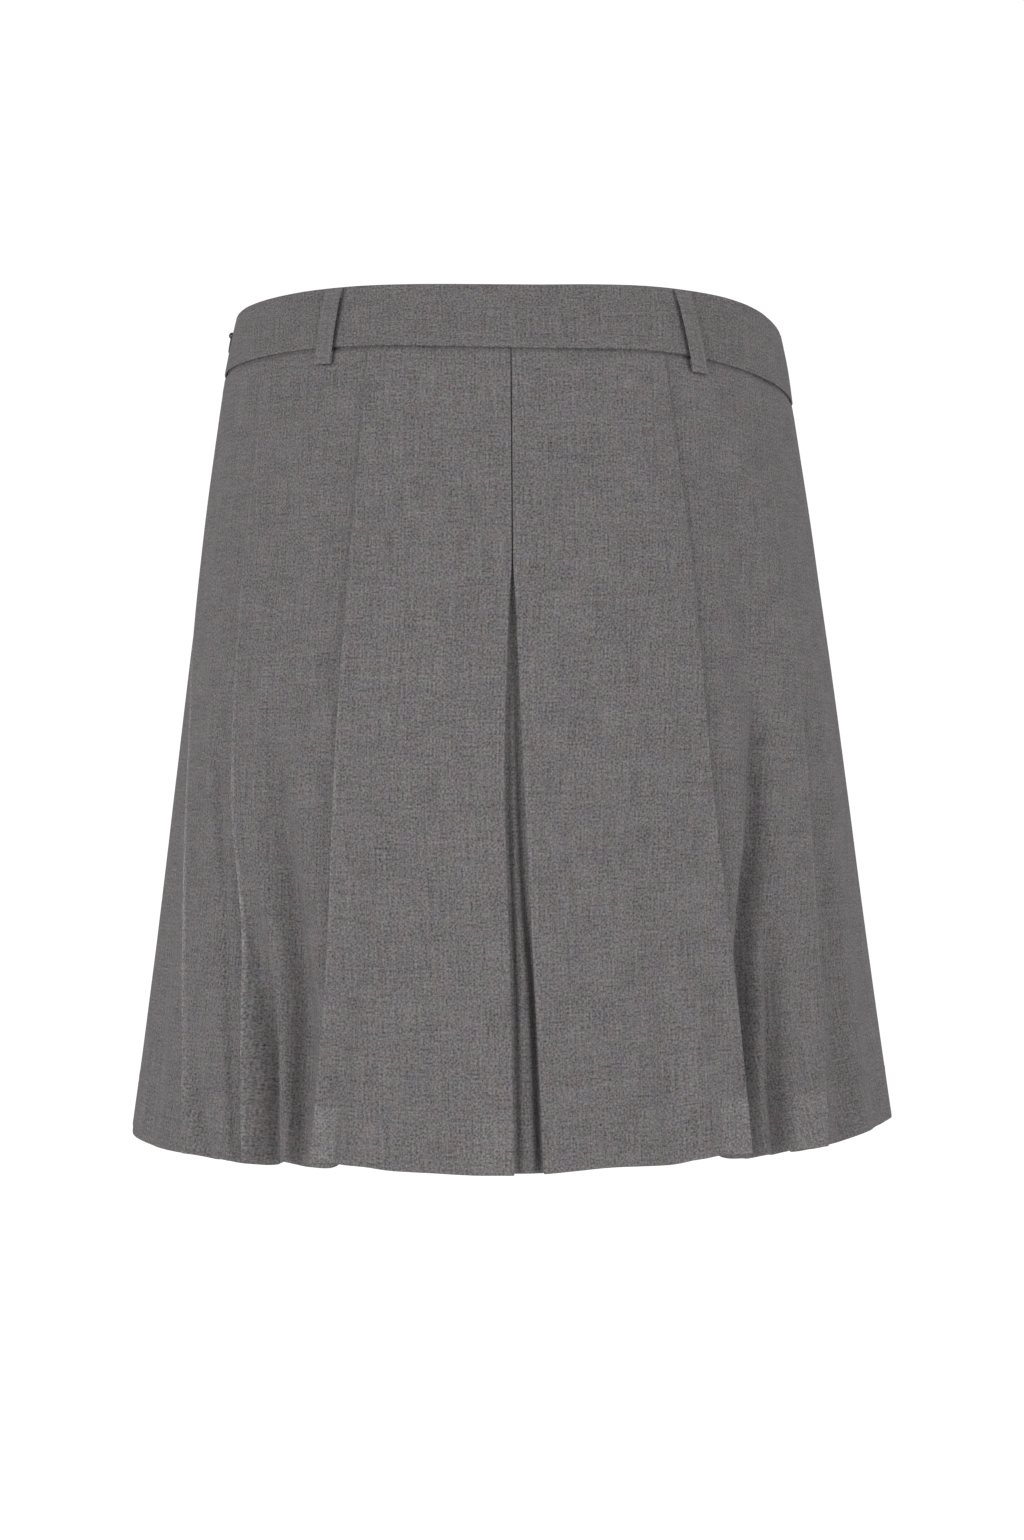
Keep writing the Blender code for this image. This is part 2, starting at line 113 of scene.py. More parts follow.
# %% Put a point on the worn shape
class Level:
    """The level section at one height."""

    TABLE = np.array(SECTIONS)[::-1].T
    ANGLE = np.linspace(-0.6 * math.pi, 0.6 * math.pi, 481)

    def __init__(self, height):
        self.height = height
        self.wide = float(smooth(height, self.TABLE[0], self.TABLE[1]))
        self.deep = {BACK: float(smooth(height, self.TABLE[0], self.TABLE[2])),
                     FRONT: float(smooth(height, self.TABLE[0], self.TABLE[3]))}
        self.arc = {}
        self.quarter = {}
        for half in (BACK, FRONT):
            step = np.hypot(np.diff(self.wide * np.sin(self.ANGLE)),
                            np.diff(self.deep[half] * np.cos(self.ANGLE)))
            arc = np.concatenate([[0.0], np.cumsum(step)])
            self.arc[half] = arc - np.interp(0.0, self.ANGLE, arc)
            self.quarter[half] = float(np.interp(math.pi / 2, self.ANGLE, self.arc[half]))
        self.share = min(max((height - BAND_BOTTOM) / (HEM - BAND_BOTTOM), 0.0), 1.0)
        self.band_share = min(max((height - BAND_BOTTOM) / (BAND_TOP - BAND_BOTTOM), 0.0), 1.0)

    def place(self, half, arc, out, lift=0.0):
        """Points in metres at arcs from the centre line, moved outward and up."""
        arc, out = np.asarray(arc, float), np.asarray(out, float)
        t = np.interp(arc, self.arc[half], self.ANGLE)
        x, y = self.wide * np.sin(t), self.deep[half] * np.cos(t)
        nx, ny = self.deep[half] * np.sin(t), self.wide * np.cos(t)
        length = np.hypot(nx, ny)
        x, y = x + out * nx / length, half * (y + out * ny / length)
        share, top, seam = np.array(WAIST_LINE[half]).T
        at = arc / self.quarter[half]
        waist = mix(smooth(at, share, seam), smooth(at, share, top), self.band_share)
        rise = mix(waist, HEM_TILT * x, self.share)
        return np.stack([x, y, self.height + lift + rise + 0.0 * arc], axis=-1) * MM


print("quarter girth at the hem:", round(Level(HEM).quarter[BACK], 1), "mm")

# %% [markdown]
# ## The pleats
# Each knife pleat is a run of cloth to its fold edge, back under to its inner fold, and on again.
# The fold edges were placed on the photograph, as shares of the way from the centre line to the
# side seam at five heights. The last two numbers say how far the edge springs off the skirt at
# the hem, and how far the hem of the upper layer is drawn up there.

# %% Pleats, from left to right
STATIONS = (-377.5, -300.0, -208.0, -104.0, -17.0)
# (name, points to, shares from waist to hem, depth at waist, depth at hem, spring, drawn up)
PLEATS = {
    BACK: (
        ("left side", -1, (-0.930, -0.882, -0.772, -0.690, -0.634), 27.0, 28.0, 2.6, 0.2),
        ("left middle", -1, (-0.652, -0.626, -0.592, -0.528, -0.495), 24.0, 10.0, 2.8, 1.3),
        ("left inner", -1, (-0.354, -0.343, -0.348, -0.346, -0.359), 21.0, 11.5, 3.4, 2.4),
        ("centre left", 1, (-0.020, -0.022, -0.032, -0.021, -0.015), 18.0, 17.0, 1.8, -0.9),
        ("centre right", -1, (-0.020, -0.019, -0.002, 0.016, 0.031), 18.0, 18.0, 1.8, 0.0),
        ("right inner", 1, (0.345, 0.343, 0.354, 0.381, 0.395), 21.0, 15.0, 3.6, 2.5),
        ("right middle", 1, (0.640, 0.614, 0.603, 0.588, 0.565), 30.0, 18.0, 3.6, 0.4),
        ("right side", 1, (0.940, 0.930, 0.915, 0.905, 0.900), 27.0, 28.0, 2.4, 0.6),
    ),
    FRONT: (
        ("left side", -1, (-0.940, -0.915, -0.895, -0.880, -0.870), 26.0, 28.0, 1.8, 0.8),
        ("left middle", -1, (-0.655, -0.630, -0.615, -0.600, -0.590), 25.0, 28.0, 2.8, 1.6),
        ("left inner", -1, (-0.350, -0.345, -0.355, -0.372, -0.385), 20.0, 19.0, 2.4, 2.4),
        ("right inner", 1, (0.350, 0.345, 0.357, 0.376, 0.390), 20.0, 19.0, 2.9, 1.8),
        ("right middle", 1, (0.655, 0.632, 0.618, 0.605, 0.595), 25.0, 28.0, 2.2, 2.6),
        ("right side", 1, (0.940, 0.918, 0.900, 0.885, 0.875), 26.0, 28.0, 1.8, 0.6),
    ),
}
# the centre pleat is stitched shut down to a height, and its two edges part below it
CENTRE_SEAM, CENTRE_STITCHED_TO, CENTRE_OPENS_OVER = -0.020, -108.0, 30.0
STITCHED_EDGE = 0.40
CLOTH = 1.1
PLY_PITCH_WAIST, PLY_PITCH_HEM = 0.42, 1.35
# the drawn-up corner of a pleat: level near the edge, then fading, and rounded underneath
CORNER_FLAT, CORNER_FADE, ROUNDED = 12.0, 27.0, 0.8
# the height where the painted highlight on the fold edges is strongest, and how far from it that shows
HIGHLIGHT_PEAK_AT, HIGHLIGHT_SPREAD = -240.0, 85.0
# painted highlight along each fold edge: how much paler its colour is drawn, for the bright line the
# light makes there
EDGE_HIGHLIGHT = {(BACK, "left side"): 4.8, (BACK, "left middle"): 3.0, (BACK, "left inner"): 1.6,
              (BACK, "centre right"): 0.6, (BACK, "right inner"): 0.9, (BACK, "right middle"): 1.3}
# painted highlight on the doubled hem beside these fold edges, paler where it catches the light
TURN_UP_HIGHLIGHT = {(BACK, "left inner"): 0.9, (BACK, "centre left"): 0.4,
                 (BACK, "right inner"): 0.8, (BACK, "right middle"): 0.75}


def ply_pitch(level):
    """Distance between the layers of a pleat, pressed close at the waist and open at the hem."""
    return mix(PLY_PITCH_WAIST, PLY_PITCH_HEM, level.share)


class Pleat:
    """One fold at one level: where its edge and its inner fold lie, as arcs."""

    def __init__(self, row, half, level):
        name, self.points, shares, deep_top, deep_hem, spring, self.drawn_up = row
        edge = float(smooth(level.height, STATIONS, shares[::-1])) * level.quarter[half]
        self.edge = edge - self.points * CLOTH / 2
        if name.startswith("centre"):
            seam = CENTRE_SEAM * level.quarter[half] - self.points * STITCHED_EDGE
            opened = float(ease((CENTRE_STITCHED_TO - level.height) / CENTRE_OPENS_OVER))
            self.edge = mix(seam, self.edge, opened)
        self.inner = self.edge - self.points * mix(deep_top, deep_hem, level.share)
        self.left, self.right = sorted((self.edge, self.inner))
        self.spring = spring * level.share ** 1.3
        self.turn_up_highlight = TURN_UP_HIGHLIGHT.get((half, name), 0.0)
        # the painted highlight is strongest near one height and fades above and below it
        highlight_fade = 0.12 + 0.88 * math.exp(-((level.height - HIGHLIGHT_PEAK_AT) / HIGHLIGHT_SPREAD) ** 2)
        self.shine = EDGE_HIGHLIGHT.get((half, name), 0.3) * highlight_fade

    def highlight_paint(self, arc, doubled):
        """Painted highlight: paler colour along the fold edge, and on the turned-up hem beside it."""
        from_edge = (self.edge - arc) * self.points
        near = self.shine * np.exp(-(from_edge / 1.0) ** 2)
        width = abs(self.edge - self.inner)
        beside = ease((from_edge + 1.0) / 1.5) * ease((width - from_edge) / 2.5)
        return (near + self.turn_up_highlight * doubled * beside) * (from_edge > -0.5)

    def upper_rise(self, arc):
        """How far the hem of the upper layer is drawn up, fading along the cloth."""
        from_edge = (self.edge - arc) * self.points
        return self.drawn_up * (1 - ease((from_edge - CORNER_FLAT) / CORNER_FADE))

    def under_rise(self, arc):
        """The hem of the layers under it rounds up to the inner fold."""
        near_edge = np.clip((arc - self.inner) / (self.edge - self.inner), 0, 1)
        return ROUNDED * self.drawn_up * (1 - near_edge) ** 4

    def lift(self, arc):
        """How far the upper layer stands off, rising from the inner fold to the edge."""
        return self.spring * np.clip((arc - self.inner) / (self.edge - self.inner), 0, 1) ** 1.5


print("folds:", len(PLEATS[BACK]), "in the back,", len(PLEATS[FRONT]), "in the front")

# %% [markdown]
# ## Creases, placed one by one
# Pressed suiting hangs in long soft flutes. A cloth simulation would find its own, so the main
# troughs and ridges are set here where the photograph has them, with similar uneven ones on the
# sides and front. A run crease moves one layer between two pleats, and so it can sink beside a
# fold edge. A stack crease moves every layer at that place, so the layers never cross.

# %% Tables of creases
# (gap after this many pleats, half width, ((height, arc from the low side, offset), ...))
RUN_CREASES = {
    BACK: (
        (1, 8.0, ((-377.5, 12.0, -1.6), (-308.0, 12.0, -1.8), (-264.0, 13.0, -2.0),
                  (-220.0, 14.0, -1.8), (-180.0, 15.0, 0.0))),
        (2, 9.0, ((-377.5, 11.0, -9.0), (-329.0, 13.0, -10.0), (-307.0, 15.5, -10.0),
                  (-264.0, 24.0, -9.5), (-211.0, 35.0, -5.0), (-160.0, 44.0, 0.0))),
        (3, 8.5, ((-377.5, 5.0, 2.6), (-262.0, 9.0, 2.4), (-195.0, 7.0, 1.4), (-120.0, 7.0, 0.0))),
        (4, 2.8, ((-377.5, 12.4, -3.4), (-345.0, 11.8, -3.4), (-300.0, 10.6, -3.4),
                  (-262.0, 8.2, -3.4), (-208.0, 6.6, -2.6), (-150.0, 4.6, -1.2), (-110.0, 3.0, 0.0))),
        (4, 2.4, ((-377.5, 1.6, -1.4), (-300.0, 1.6, -2.4), (-262.0, 1.6, -2.4),
                  (-208.0, 1.5, -1.8), (-150.0, 1.4, -0.8), (-110.0, 1.2, 0.0))),
        (6, 7.5, ((-377.5, 8.0, -7.0), (-350.0, 8.5, -11.0), (-325.0, 9.5, -15.0),
                  (-300.0, 12.0, -16.0), (-261.0, 20.0, -14.5), (-235.0, 27.0, -11.0),
                  (-205.0, 33.5, -8.0), (-150.0, 44.0, 0.0))),
        (6, 8.0, ((-377.5, 22.5, -7.0), (-350.0, 23.5, -8.0), (-325.0, 25.0, -6.5),
                  (-290.0, 27.5, -4.5), (-250.0, 30.0, 0.0))),
        (6, 3.4, ((-377.5, 22.0, -2.0), (-340.0, 23.5, -2.6), (-300.0, 26.5, -2.8),
                  (-268.0, 28.0, 0.0))),
        (7, 7.0, ((-377.5, 10.0, -6.5), (-300.0, 10.0, -6.5), (-230.0, 11.0, -5.4),
                  (-190.0, 12.0, -3.4), (-140.0, 13.0, 0.0))),
        (7, 14.0, ((-377.5, 22.0, -3.2), (-300.0, 22.0, -4.4), (-230.0, 22.0, -4.0),
                   (-180.0, 22.0, -2.0), (-120.0, 22.0, 0.0))),
        (8, 5.0, ((-377.5, 7.0, -3.0), (-260.0, 7.0, -1.6), (-150.0, 7.0, 0.0))),
    ),
    FRONT: (
        (1, 5.5, ((-377.5, 6.5, -3.2), (-300.0, 7.0, -2.2), (-200.0, 8.0, 0.0))),
        (2, 6.0, ((-377.5, 7.5, -5.2), (-290.0, 8.0, -4.0), (-215.0, 9.0, -1.6),
                  (-160.0, 10.0, 0.0))),
        (3, 9.0, ((-377.5, 24.0, -2.2), (-300.0, 26.0, -1.6), (-180.0, 30.0, 0.0))),
        (4, 6.0, ((-377.5, 7.0, -4.4), (-310.0, 7.5, -4.0), (-230.0, 9.0, -1.8),
                  (-170.0, 10.0, 0.0))),
        (5, 6.0, ((-377.5, 8.0, -5.6), (-300.0, 8.0, -4.4), (-225.0, 9.0, -1.6),
                  (-150.0, 11.0, 0.0))),
        (6, 5.0, ((-377.5, 6.5, -2.6), (-260.0, 7.0, -1.2), (-160.0, 7.0, 0.0))),
    ),
}
# (half width, ((height, arc from the centre line, offset), ...))
STACK_CREASES = {
    BACK: (
        (7.0, ((-377.5, -123.0, -8.0), (-329.0, -124.0, -8.6), (-308.0, -126.5, -8.4),
               (-286.0, -130.5, -7.4), (-264.0, -135.0, -4.0), (-230.0, -142.0, 0.0))),
        (4.2, ((-377.5, -118.6, -7.2), (-329.0, -119.4, -7.8), (-308.0, -120.6, -6.6),
               (-286.0, -123.5, -3.8), (-264.0, -128.0, -1.5), (-235.0, -134.0, 0.0))),
        (3.6, ((-377.5, -111.6, 1.8), (-328.0, -113.0, 1.8), (-285.0, -118.0, 1.2),
               (-242.0, -127.0, 0.0))),
        (5.4, ((-377.5, -153.5, -4.2), (-362.0, -158.5, -4.6), (-348.0, -163.0, -4.0),
               (-334.0, -166.5, -2.6), (-312.0, -170.0, 0.0))),
        (13.0, ((-260.0, -96.0, 0.0), (-160.0, -112.0, -1.3), (-90.0, -118.0, -1.0),
                (-30.0, -120.0, 0.0))),
        (12.0, ((-250.0, 118.0, 0.0), (-190.0, 116.0, -3.4), (-110.0, 108.0, -2.4),
                (-30.0, 98.0, 0.0))),
        (10.0, ((-377.5, 145.0, 1.2), (-280.0, 144.0, 1.8), (-200.0, 143.0, 2.2),
                (-120.0, 140.0, 1.0), (-60.0, 134.0, 0.0))),
        (18.0, ((-377.5, -50.0, -1.0), (-300.0, -46.0, -0.6), (-180.0, -40.0, 0.0))),
        (8.0, ((-377.5, 83.0, 2.4), (-307.0, 76.0, 2.2), (-280.0, 71.6, 1.8), (-253.0, 68.0, 1.2),
               (-200.0, 62.0, 0.0))),
        (9.0, ((-377.5, 69.0, -1.8), (-307.0, 62.0, -1.5), (-260.0, 57.0, -1.0), (-200.0, 52.0, 0.0))),
        (10.0, ((-377.5, -212.0, -3.6), (-290.0, -205.0, -2.2), (-150.0, -190.0, 0.0))),
        (11.0, ((-377.5, -240.0, 0.5), (-290.0, -230.0, 0.3), (-180.0, -215.0, 0.0))),
        (12.0, ((-377.5, 176.0, -3.2), (-280.0, 172.0, -2.0), (-150.0, 165.0, 0.0))),
        (10.0, ((-377.5, 212.0, -2.6), (-280.0, 204.0, -1.4), (-150.0, 190.0, 0.0))),
    ),
    FRONT: (
        (5.5, ((-377.5, -132.0, -4.2), (-320.0, -134.0, -3.4), (-250.0, -142.0, -1.2),
               (-190.0, -146.0, 0.0))),
        (6.5, ((-377.5, 126.0, -3.6), (-310.0, 128.0, -2.8), (-240.0, 136.0, -1.0),
               (-180.0, 138.0, 0.0))),
        (14.0, ((-377.5, 48.0, -1.8), (-280.0, 44.0, -1.2), (-150.0, 38.0, 0.0))),
        (12.0, ((-377.5, -30.0, 1.4), (-280.0, -28.0, 0.8), (-150.0, -24.0, 0.0))),
        (13.0, ((-260.0, -104.0, 0.0), (-150.0, -108.0, -1.3), (-40.0, -112.0, 0.0))),
        (13.0, ((-240.0, 106.0, 0.0), (-150.0, 104.0, -1.5), (-40.0, 100.0, 0.0))),
        (11.0, ((-377.5, 200.0, -2.4), (-280.0, 192.0, -1.2), (-150.0, 180.0, 0.0))),
        (11.0, ((-377.5, -204.0, -2.8), (-290.0, -196.0, -1.4), (-160.0, -186.0, 0.0))),
    ),
}


def crease_now(points, height):
    """The arc and the offset of one crease at a height, none above where it starts."""
    heights, arcs, offsets = np.array(points).T
    inside = heights[0] <= height <= heights[-1]
    return float(smooth(height, heights, arcs)), inside * float(smooth(height, heights, offsets))


def hump(distance, half_width):
    return np.exp(-0.5 * (distance / (0.6 * half_width)) ** 2)


def wander(a, b, seed):
    """Soft unevenness between about -1 and 1, the same at each run."""
    return (np.sin(a * 1.0 + 1.7 * seed + 0.8 * np.sin(b * 0.9 + seed))
            + 0.6 * np.sin(a * 2.3 - b * 0.7 + 2.9 * seed)
            + 0.4 * np.sin(a * 4.1 + b * 1.9 + 4.3 * seed)) / 2.0


def waist_wave(half, arc, height):
    """Unevenness of the waistband, which the skirt's top edge shares."""
    return (0.20 * wander(arc / 17.0, height / 14.0, 11 + half)
            + 0.10 * wander(arc / 5.5, height / 7.0, 13 + half))


def stack_creases(level, half, arc):
    """Offset of all layers at these arcs: the long creases and a little unevenness."""
    out = np.zeros_like(arc)
    for half_width, points in STACK_CREASES[half]:
        at, offset = crease_now(points, level.height)
        out += offset * hump(arc - at, half_width)
    h = level.height
    out += 0.26 * wander(arc / 21.0, h / 60.0, 3 + half) * (0.4 + level.share)
    # small puckers where the cloth is eased into the waistband
    pucker = math.exp(-((h - BAND_BOTTOM) / 11.0) ** 2)
    return out + 0.13 * pucker * wander(arc / 5.0, h / 25.0, 8 + half)


print("creases:", sum(len(v) for v in RUN_CREASES.values()), "in one layer,",
      sum(len(v) for v in STACK_CREASES.values()), "in all layers")

# %% [markdown]
# ## The path of the cloth at one level
# Seen from below, the cloth runs to a fold edge, turns back and turns on again, and at each side
# seam it folds in as a pressed-open seam allowance. The back and the front meet there with their
# pressed edges. The cloth also steps up where it climbs on a pleat: that is the faint press line
# on the right side. The folds could be made by bending a flat grid with bones or hooks, but a
# path that is worked out level by level keeps every layer in its place.

# %% Runs between the pleats
SEAM_DROP = 1.5
SEAM_SWELL, SEAM_SWELL_WIDTH = 0.55, 7.0
STEP_WIDTH, STEP_SHARE = 4.5, 0.26
PANEL_SAG = 0.7
FREE_WITHIN = 3.6


def gap_ends(level, half, before, after):
    """Where the open cloth between two pleats starts and ends; None stands for a side seam."""
    side = level.quarter[half]
    return (-side if before is None else before.right), (side if after is None else after.left)


def over_a_pleat(arc, before, after):
    """0 where the run lies over the folds of a pleat, so that it can't sink into them."""
    free = np.ones_like(arc)
    if before is not None and before.points < 0:
        free *= ease((arc - before.right) / FREE_WITHIN)
    if after is not None and after.points > 0:
        free *= ease((after.left - arc) / FREE_WITHIN)
    return free


def run_out(level, half, gap, arc, before, after):
    """How far out the cloth lies along one run, between the pleats before and after it."""
    low = -2 * ply_pitch(level)
    start, end = gap_ends(level, half, before, after)
    out_start = -SEAM_DROP if before is None else (low if before.points > 0 else 0.0)
    out_end = -SEAM_DROP if after is None else (0.0 if after.points > 0 else low)
    t = (arc - start) / (end - start)
    step = STEP_WIDTH / (end - start)
    local = ease((t - 1 + step) / step) if out_end > out_start else ease(t / step)
    out = mix(out_start, out_end, mix(ease(t), local, STEP_SHARE))
    if out_start == out_end == 0.0:
        out -= PANEL_SAG * (ease(t / step) - ease((t - 1 + step) / step))
    for number, half_width, points in RUN_CREASES[half]:
        if number == gap:
            at, offset = crease_now(points, level.height)
            from_left = out_start <= out_end
            centre = start + at if from_left else end - at
            out += offset * hump(arc - centre, half_width) * over_a_pleat(arc, before, after)
    if (before is None or after is None) and level.share > 0:
        from_seam = level.quarter[half] - np.abs(arc)
        out += SEAM_SWELL * (1 - ease((from_seam - 1.0) / SEAM_SWELL_WIDTH))
    if before is not None and before.points < 0:
        out += np.where(arc < before.right, before.lift(arc), 0.0)
    if after is not None and after.points > 0:
        out += np.where(arc > after.left, after.lift(arc), 0.0)
    return out


at_hem = gap_ends(Level(HEM), BACK, *(Pleat(row, BACK, Level(HEM)) for row in PLEATS[BACK][2:4]))
print("open cloth left of the centre, at the hem:", round(at_hem[1] - at_hem[0], 1), "mm")

# %% [markdown]
# The cloth is thin in the waistband, where it is pressed hard, and double at the hem, where it is
# turned up. One Solidify with a single thickness would lose that, so each row gets its own share.

# %% Thickness at a level
TURN_UP = 25.0
WALL_IN_BAND, WALL_TOP, WALL, WALL_DOUBLE = 0.22, 0.34, 0.5, 1.0


def gripped(height):
    """1 where the waistband holds the cloth, 0 below the waist seam."""
    return float(ease((height - BAND_BOTTOM + 3.4) / 2.6))


def turned_up(height):
    """1 where the hem is turned up inside, 0 above that."""
    return float(ease((HEM + TURN_UP + 0.6 - height) / 1.2))


def wall_at(level):
    single = mix(mix(WALL_TOP, WALL, level.share), WALL_IN_BAND, gripped(level.height))
    return mix(single, WALL_DOUBLE, turned_up(level.height))


print("wall at the waist seam and the hem:", round(wall_at(Level(BAND_BOTTOM)), 2), "and",
      round(wall_at(Level(HEM)), 2), "mm")

# %% [markdown]
# Every level gives the same number of points, so that the columns of the shell follow the fold
# edges down to the hem, as pressed cloth does. A fold is a half turn with a small radius, never a
# sharp corner. With each point come the rise of the hem there and its painted highlight.

# %% Turns, and the whole path
STACK_POINTS, TURN_POINTS, POINT_PITCH = 9, 5, 2.6
ALLOWANCE_WIDTH, ALLOWANCE_POINTS, ALLOWANCE_UNDER = 9.0, 5, 0.65
ALLOWANCE_RISE, SEAM_PRESSED = 0.3, 0.05


def turn(arc, out, out_next, heading):
    """Points of the half turn between two layers."""
    a = np.pi * np.arange(1, TURN_POINTS) / TURN_POINTS
    radius = abs(out_next - out) / 2
    way = 1.0 if out_next > out else -1.0
    return (arc + heading * radius * np.sin(a), (out + out_next) / 2 - way * radius * np.cos(a))


def pleats_at(level, half):
    """The pleats from left to right, with None for the seam at each side."""
    return [None] + [Pleat(row, half, level) for row in PLEATS[half]] + [None]


def run_counts(half):
    """Points in each open stretch, from its width at the hem."""
    level = Level(HEM)
    pleats = pleats_at(level, half)
    counts = []
    for before, after in zip(pleats[:-1], pleats[1:]):
        start, end = gap_ends(level, half, before, after)
        counts.append(max(12, int(round(abs(end - start) / POINT_PITCH))))
    return counts


def cloth_path(level, half, counts):
    """Arc, out, hem rise and painted highlight of every point of the cloth at one level."""
    pleats = pleats_at(level, half)
    pitch = ply_pitch(level)
    radius = pitch / 2
    side = level.quarter[half] - wall_at(level) / 2 + SEAM_PRESSED
    path = {"arc": [], "out": [], "rise": [], "press": []}
    doubled = float(level.height < HEM + TURN_UP)

    def add(arc, out, rise, press=0.0):
        path["arc"].append(arc)
        path["out"].append(out)
        path["rise"].append(np.broadcast_to(rise, arc.shape))
        path["press"].append(np.broadcast_to(press, arc.shape))

    for gap, (before, after) in enumerate(zip(pleats[:-1], pleats[1:])):
        parts = []
        if before is None:
            first = -side + ALLOWANCE_UNDER / 2
        else:
            stack_from = before.left + radius
            parts.append(np.linspace(stack_from, before.right, STACK_POINTS)[:-1])
            first = before.right
        last = side - ALLOWANCE_UNDER / 2 if after is None else after.left
        parts.append(np.linspace(first, last, counts[gap] + 1))
        if after is not None:
            parts.append(np.linspace(after.left, after.right - radius, STACK_POINTS)[1:])
        arc = np.concatenate(parts)
        out = run_out(level, half, gap, arc, before, after)
        rise = np.zeros_like(arc)
        if before is not None:
            rise += before.upper_rise(arc) if before.points < 0 else before.under_rise(arc)
        if after is not None:
            rise += after.upper_rise(arc) if after.points > 0 else after.under_rise(arc)
        if before is None:
            allowance = np.linspace(first + ALLOWANCE_WIDTH, first, ALLOWANCE_POINTS)
            allowance_out = np.interp(allowance, arc, out) - ALLOWANCE_UNDER
            add(allowance, allowance_out, ALLOWANCE_RISE)
            add(*turn(first, allowance_out[-1], out[0], -1.0), 0.0)
        # painted highlight along the fold edges, and on the turned-up hem beside them
        press = np.zeros_like(arc)
        if before is not None and before.points < 0:
            press += before.highlight_paint(arc, doubled)
        if after is not None and after.points > 0:
            press += after.highlight_paint(arc, doubled)
        add(arc, out, rise, press)
        if after is None:
            allowance = np.linspace(last, last - ALLOWANCE_WIDTH, ALLOWANCE_POINTS)
            allowance_out = np.interp(allowance, arc, out) - ALLOWANCE_UNDER
            add(*turn(last, out[-1], allowance_out[0], 1.0), 0.0)
            add(allowance, allowance_out, ALLOWANCE_RISE)
            break
        back = np.linspace(after.right - radius, after.left + radius, STACK_POINTS)
        back_out = after.lift(back) - pitch
        under = ROUNDED * after.drawn_up
        edge_first = after.points > 0
        top_rise = after.drawn_up
        # the turn at a fold edge carries the painted highlight too
        add(*turn(arc[-1], out[-1], back_out[0], 1.0), top_rise if edge_first else under,
            after.shine * edge_first)
        sweep = np.linspace(1.0, 0.0, STACK_POINTS) if edge_first else np.linspace(0, 1, STACK_POINTS)
        add(back, back_out, under * (1 - sweep) ** 4 + top_rise * sweep ** 6)
        next_out = run_out(level, half, gap + 1, back[-1:], after, pleats[gap + 2])
        add(*turn(back[-1], back_out[-1], next_out[0], -1.0), under if edge_first else top_rise,
            after.shine * (not edge_first))
    return {key: np.concatenate(values) for key, values in path.items()}


for half in (BACK, FRONT):
    at_hem = cloth_path(Level(HEM), half, run_counts(half))

# %% [markdown]
# ## A sheet from a grid
# The cloth could be modelled flat and wrapped by hand. A grid whose points are moved to their
# worn place is quicker and keeps its rows level, and its UV map stays the flat cut in metres, so
# that a weave keeps its size on every part. Solidify then gives the thickness.

# %% Helper: a grid moved into place
garment_pieces = []


def cloth_sheet(name, places, flat, turned_over):
    """A sheet whose rows and columns lie at places, with its flat cut as its UV map."""
    rows, columns = places.shape[:2]
    work = bmesh.new()
    bmesh.ops.create_grid(work, x_segments=columns - 1, y_segments=rows - 1, size=0.5)
    mesh = bpy.data.meshes.new(name)
    work.to_mesh(mesh)
    work.free()
    start = np.zeros(len(mesh.vertices) * 3)
    mesh.vertices.foreach_get("co", start)
    start = start.reshape(-1, 3)
    column = np.rint((start[:, 0] + 0.5) * (columns - 1)).astype(int)
    row = np.rint((0.5 - start[:, 1]) * (rows - 1)).astype(int)
    mesh.vertices.foreach_set("co", places[row, column].ravel())
    corner = np.zeros(len(mesh.loops), int)
    mesh.loops.foreach_get("vertex_index", corner)
    cut = mesh.uv_layers.new(name="cut")
    cut.data.foreach_set("uv", flat[row, column][corner].ravel())
    if turned_over:
        mesh.flip_normals()
    mesh.polygons.foreach_set("use_smooth", np.ones(len(mesh.polygons), bool))
    mesh.update()
    obj = bpy.data.objects.new(name, mesh)
    bpy.context.scene.collection.objects.link(obj)
    garment_pieces.append(obj)
    return obj, row, column


def mark(obj, name, values):
    """A value at each point that the material can read."""
    layer = obj.data.attributes.new(name, "FLOAT", "POINT")
    layer.data.foreach_set("value", np.asarray(values, np.float32))


def thicken(obj, thickness, row=None, shares=None):
    """Solidify, with its own share of the thickness in each row."""
    wall = obj.modifiers.new("thickness", "SOLIDIFY")
    wall.thickness = thickness * MM
    wall.offset = 0.0
    wall.use_even_offset = False
    if shares is not None:
        group = obj.vertex_groups.new(name="thickness")
        for r, share in enumerate(shares):
            group.add([int(v) for v in np.flatnonzero(row == r)], float(share), "REPLACE")
        wall.vertex_group = "thickness"


# %% [markdown]
# ## The skirt, back and front
# The top edge dips in under the waistband, where the seam pulls it in. The hem is turned up 25 mm
# inside and blind stitched, so the cloth is double there: the wall grows thicker, and the edge of
# the turn-up shows through as a broken faint line. The corners of the pleats are drawn up a
# little, as they are on cloth that was folded after it was hemmed.

# %% Rows of the skirt from the waist seam to the hem
near_waist = BAND_BOTTOM + np.array([2.6, 1.8, 1.1, 0.6, 0.2, -0.2, -0.6, -1.0, -1.5, -2.0, -2.6, -3.3,
                                     -4.4, -6.0, -7.7, -9.1, -10.9])
down = np.linspace(-31.0, HEM + TURN_UP + 3.0, 68)
near_turn_up = HEM + TURN_UP + np.array([1.4, 0.6, 0.1, -0.4, -1.2, -3.0])
near_hem = np.concatenate([np.linspace(HEM + 18.0, HEM + 3.0, 5), HEM + np.array([1.4, 0.6, 0.2, 0.0])])
SKIRT_HEIGHTS = np.concatenate([near_waist, down, near_turn_up, near_hem])
# how far the outer layer lies off the worn shape, and the middle of the cloth inside the band
OUTER_FACE, IN_BAND = 0.25, -0.55
SEAM_GROOVE, ALLOWANCE_PRINTS = 0.75, 0.12
TURN_UP_PULLS_IN, TURN_UP_PRINTS = 0.24, 0.16
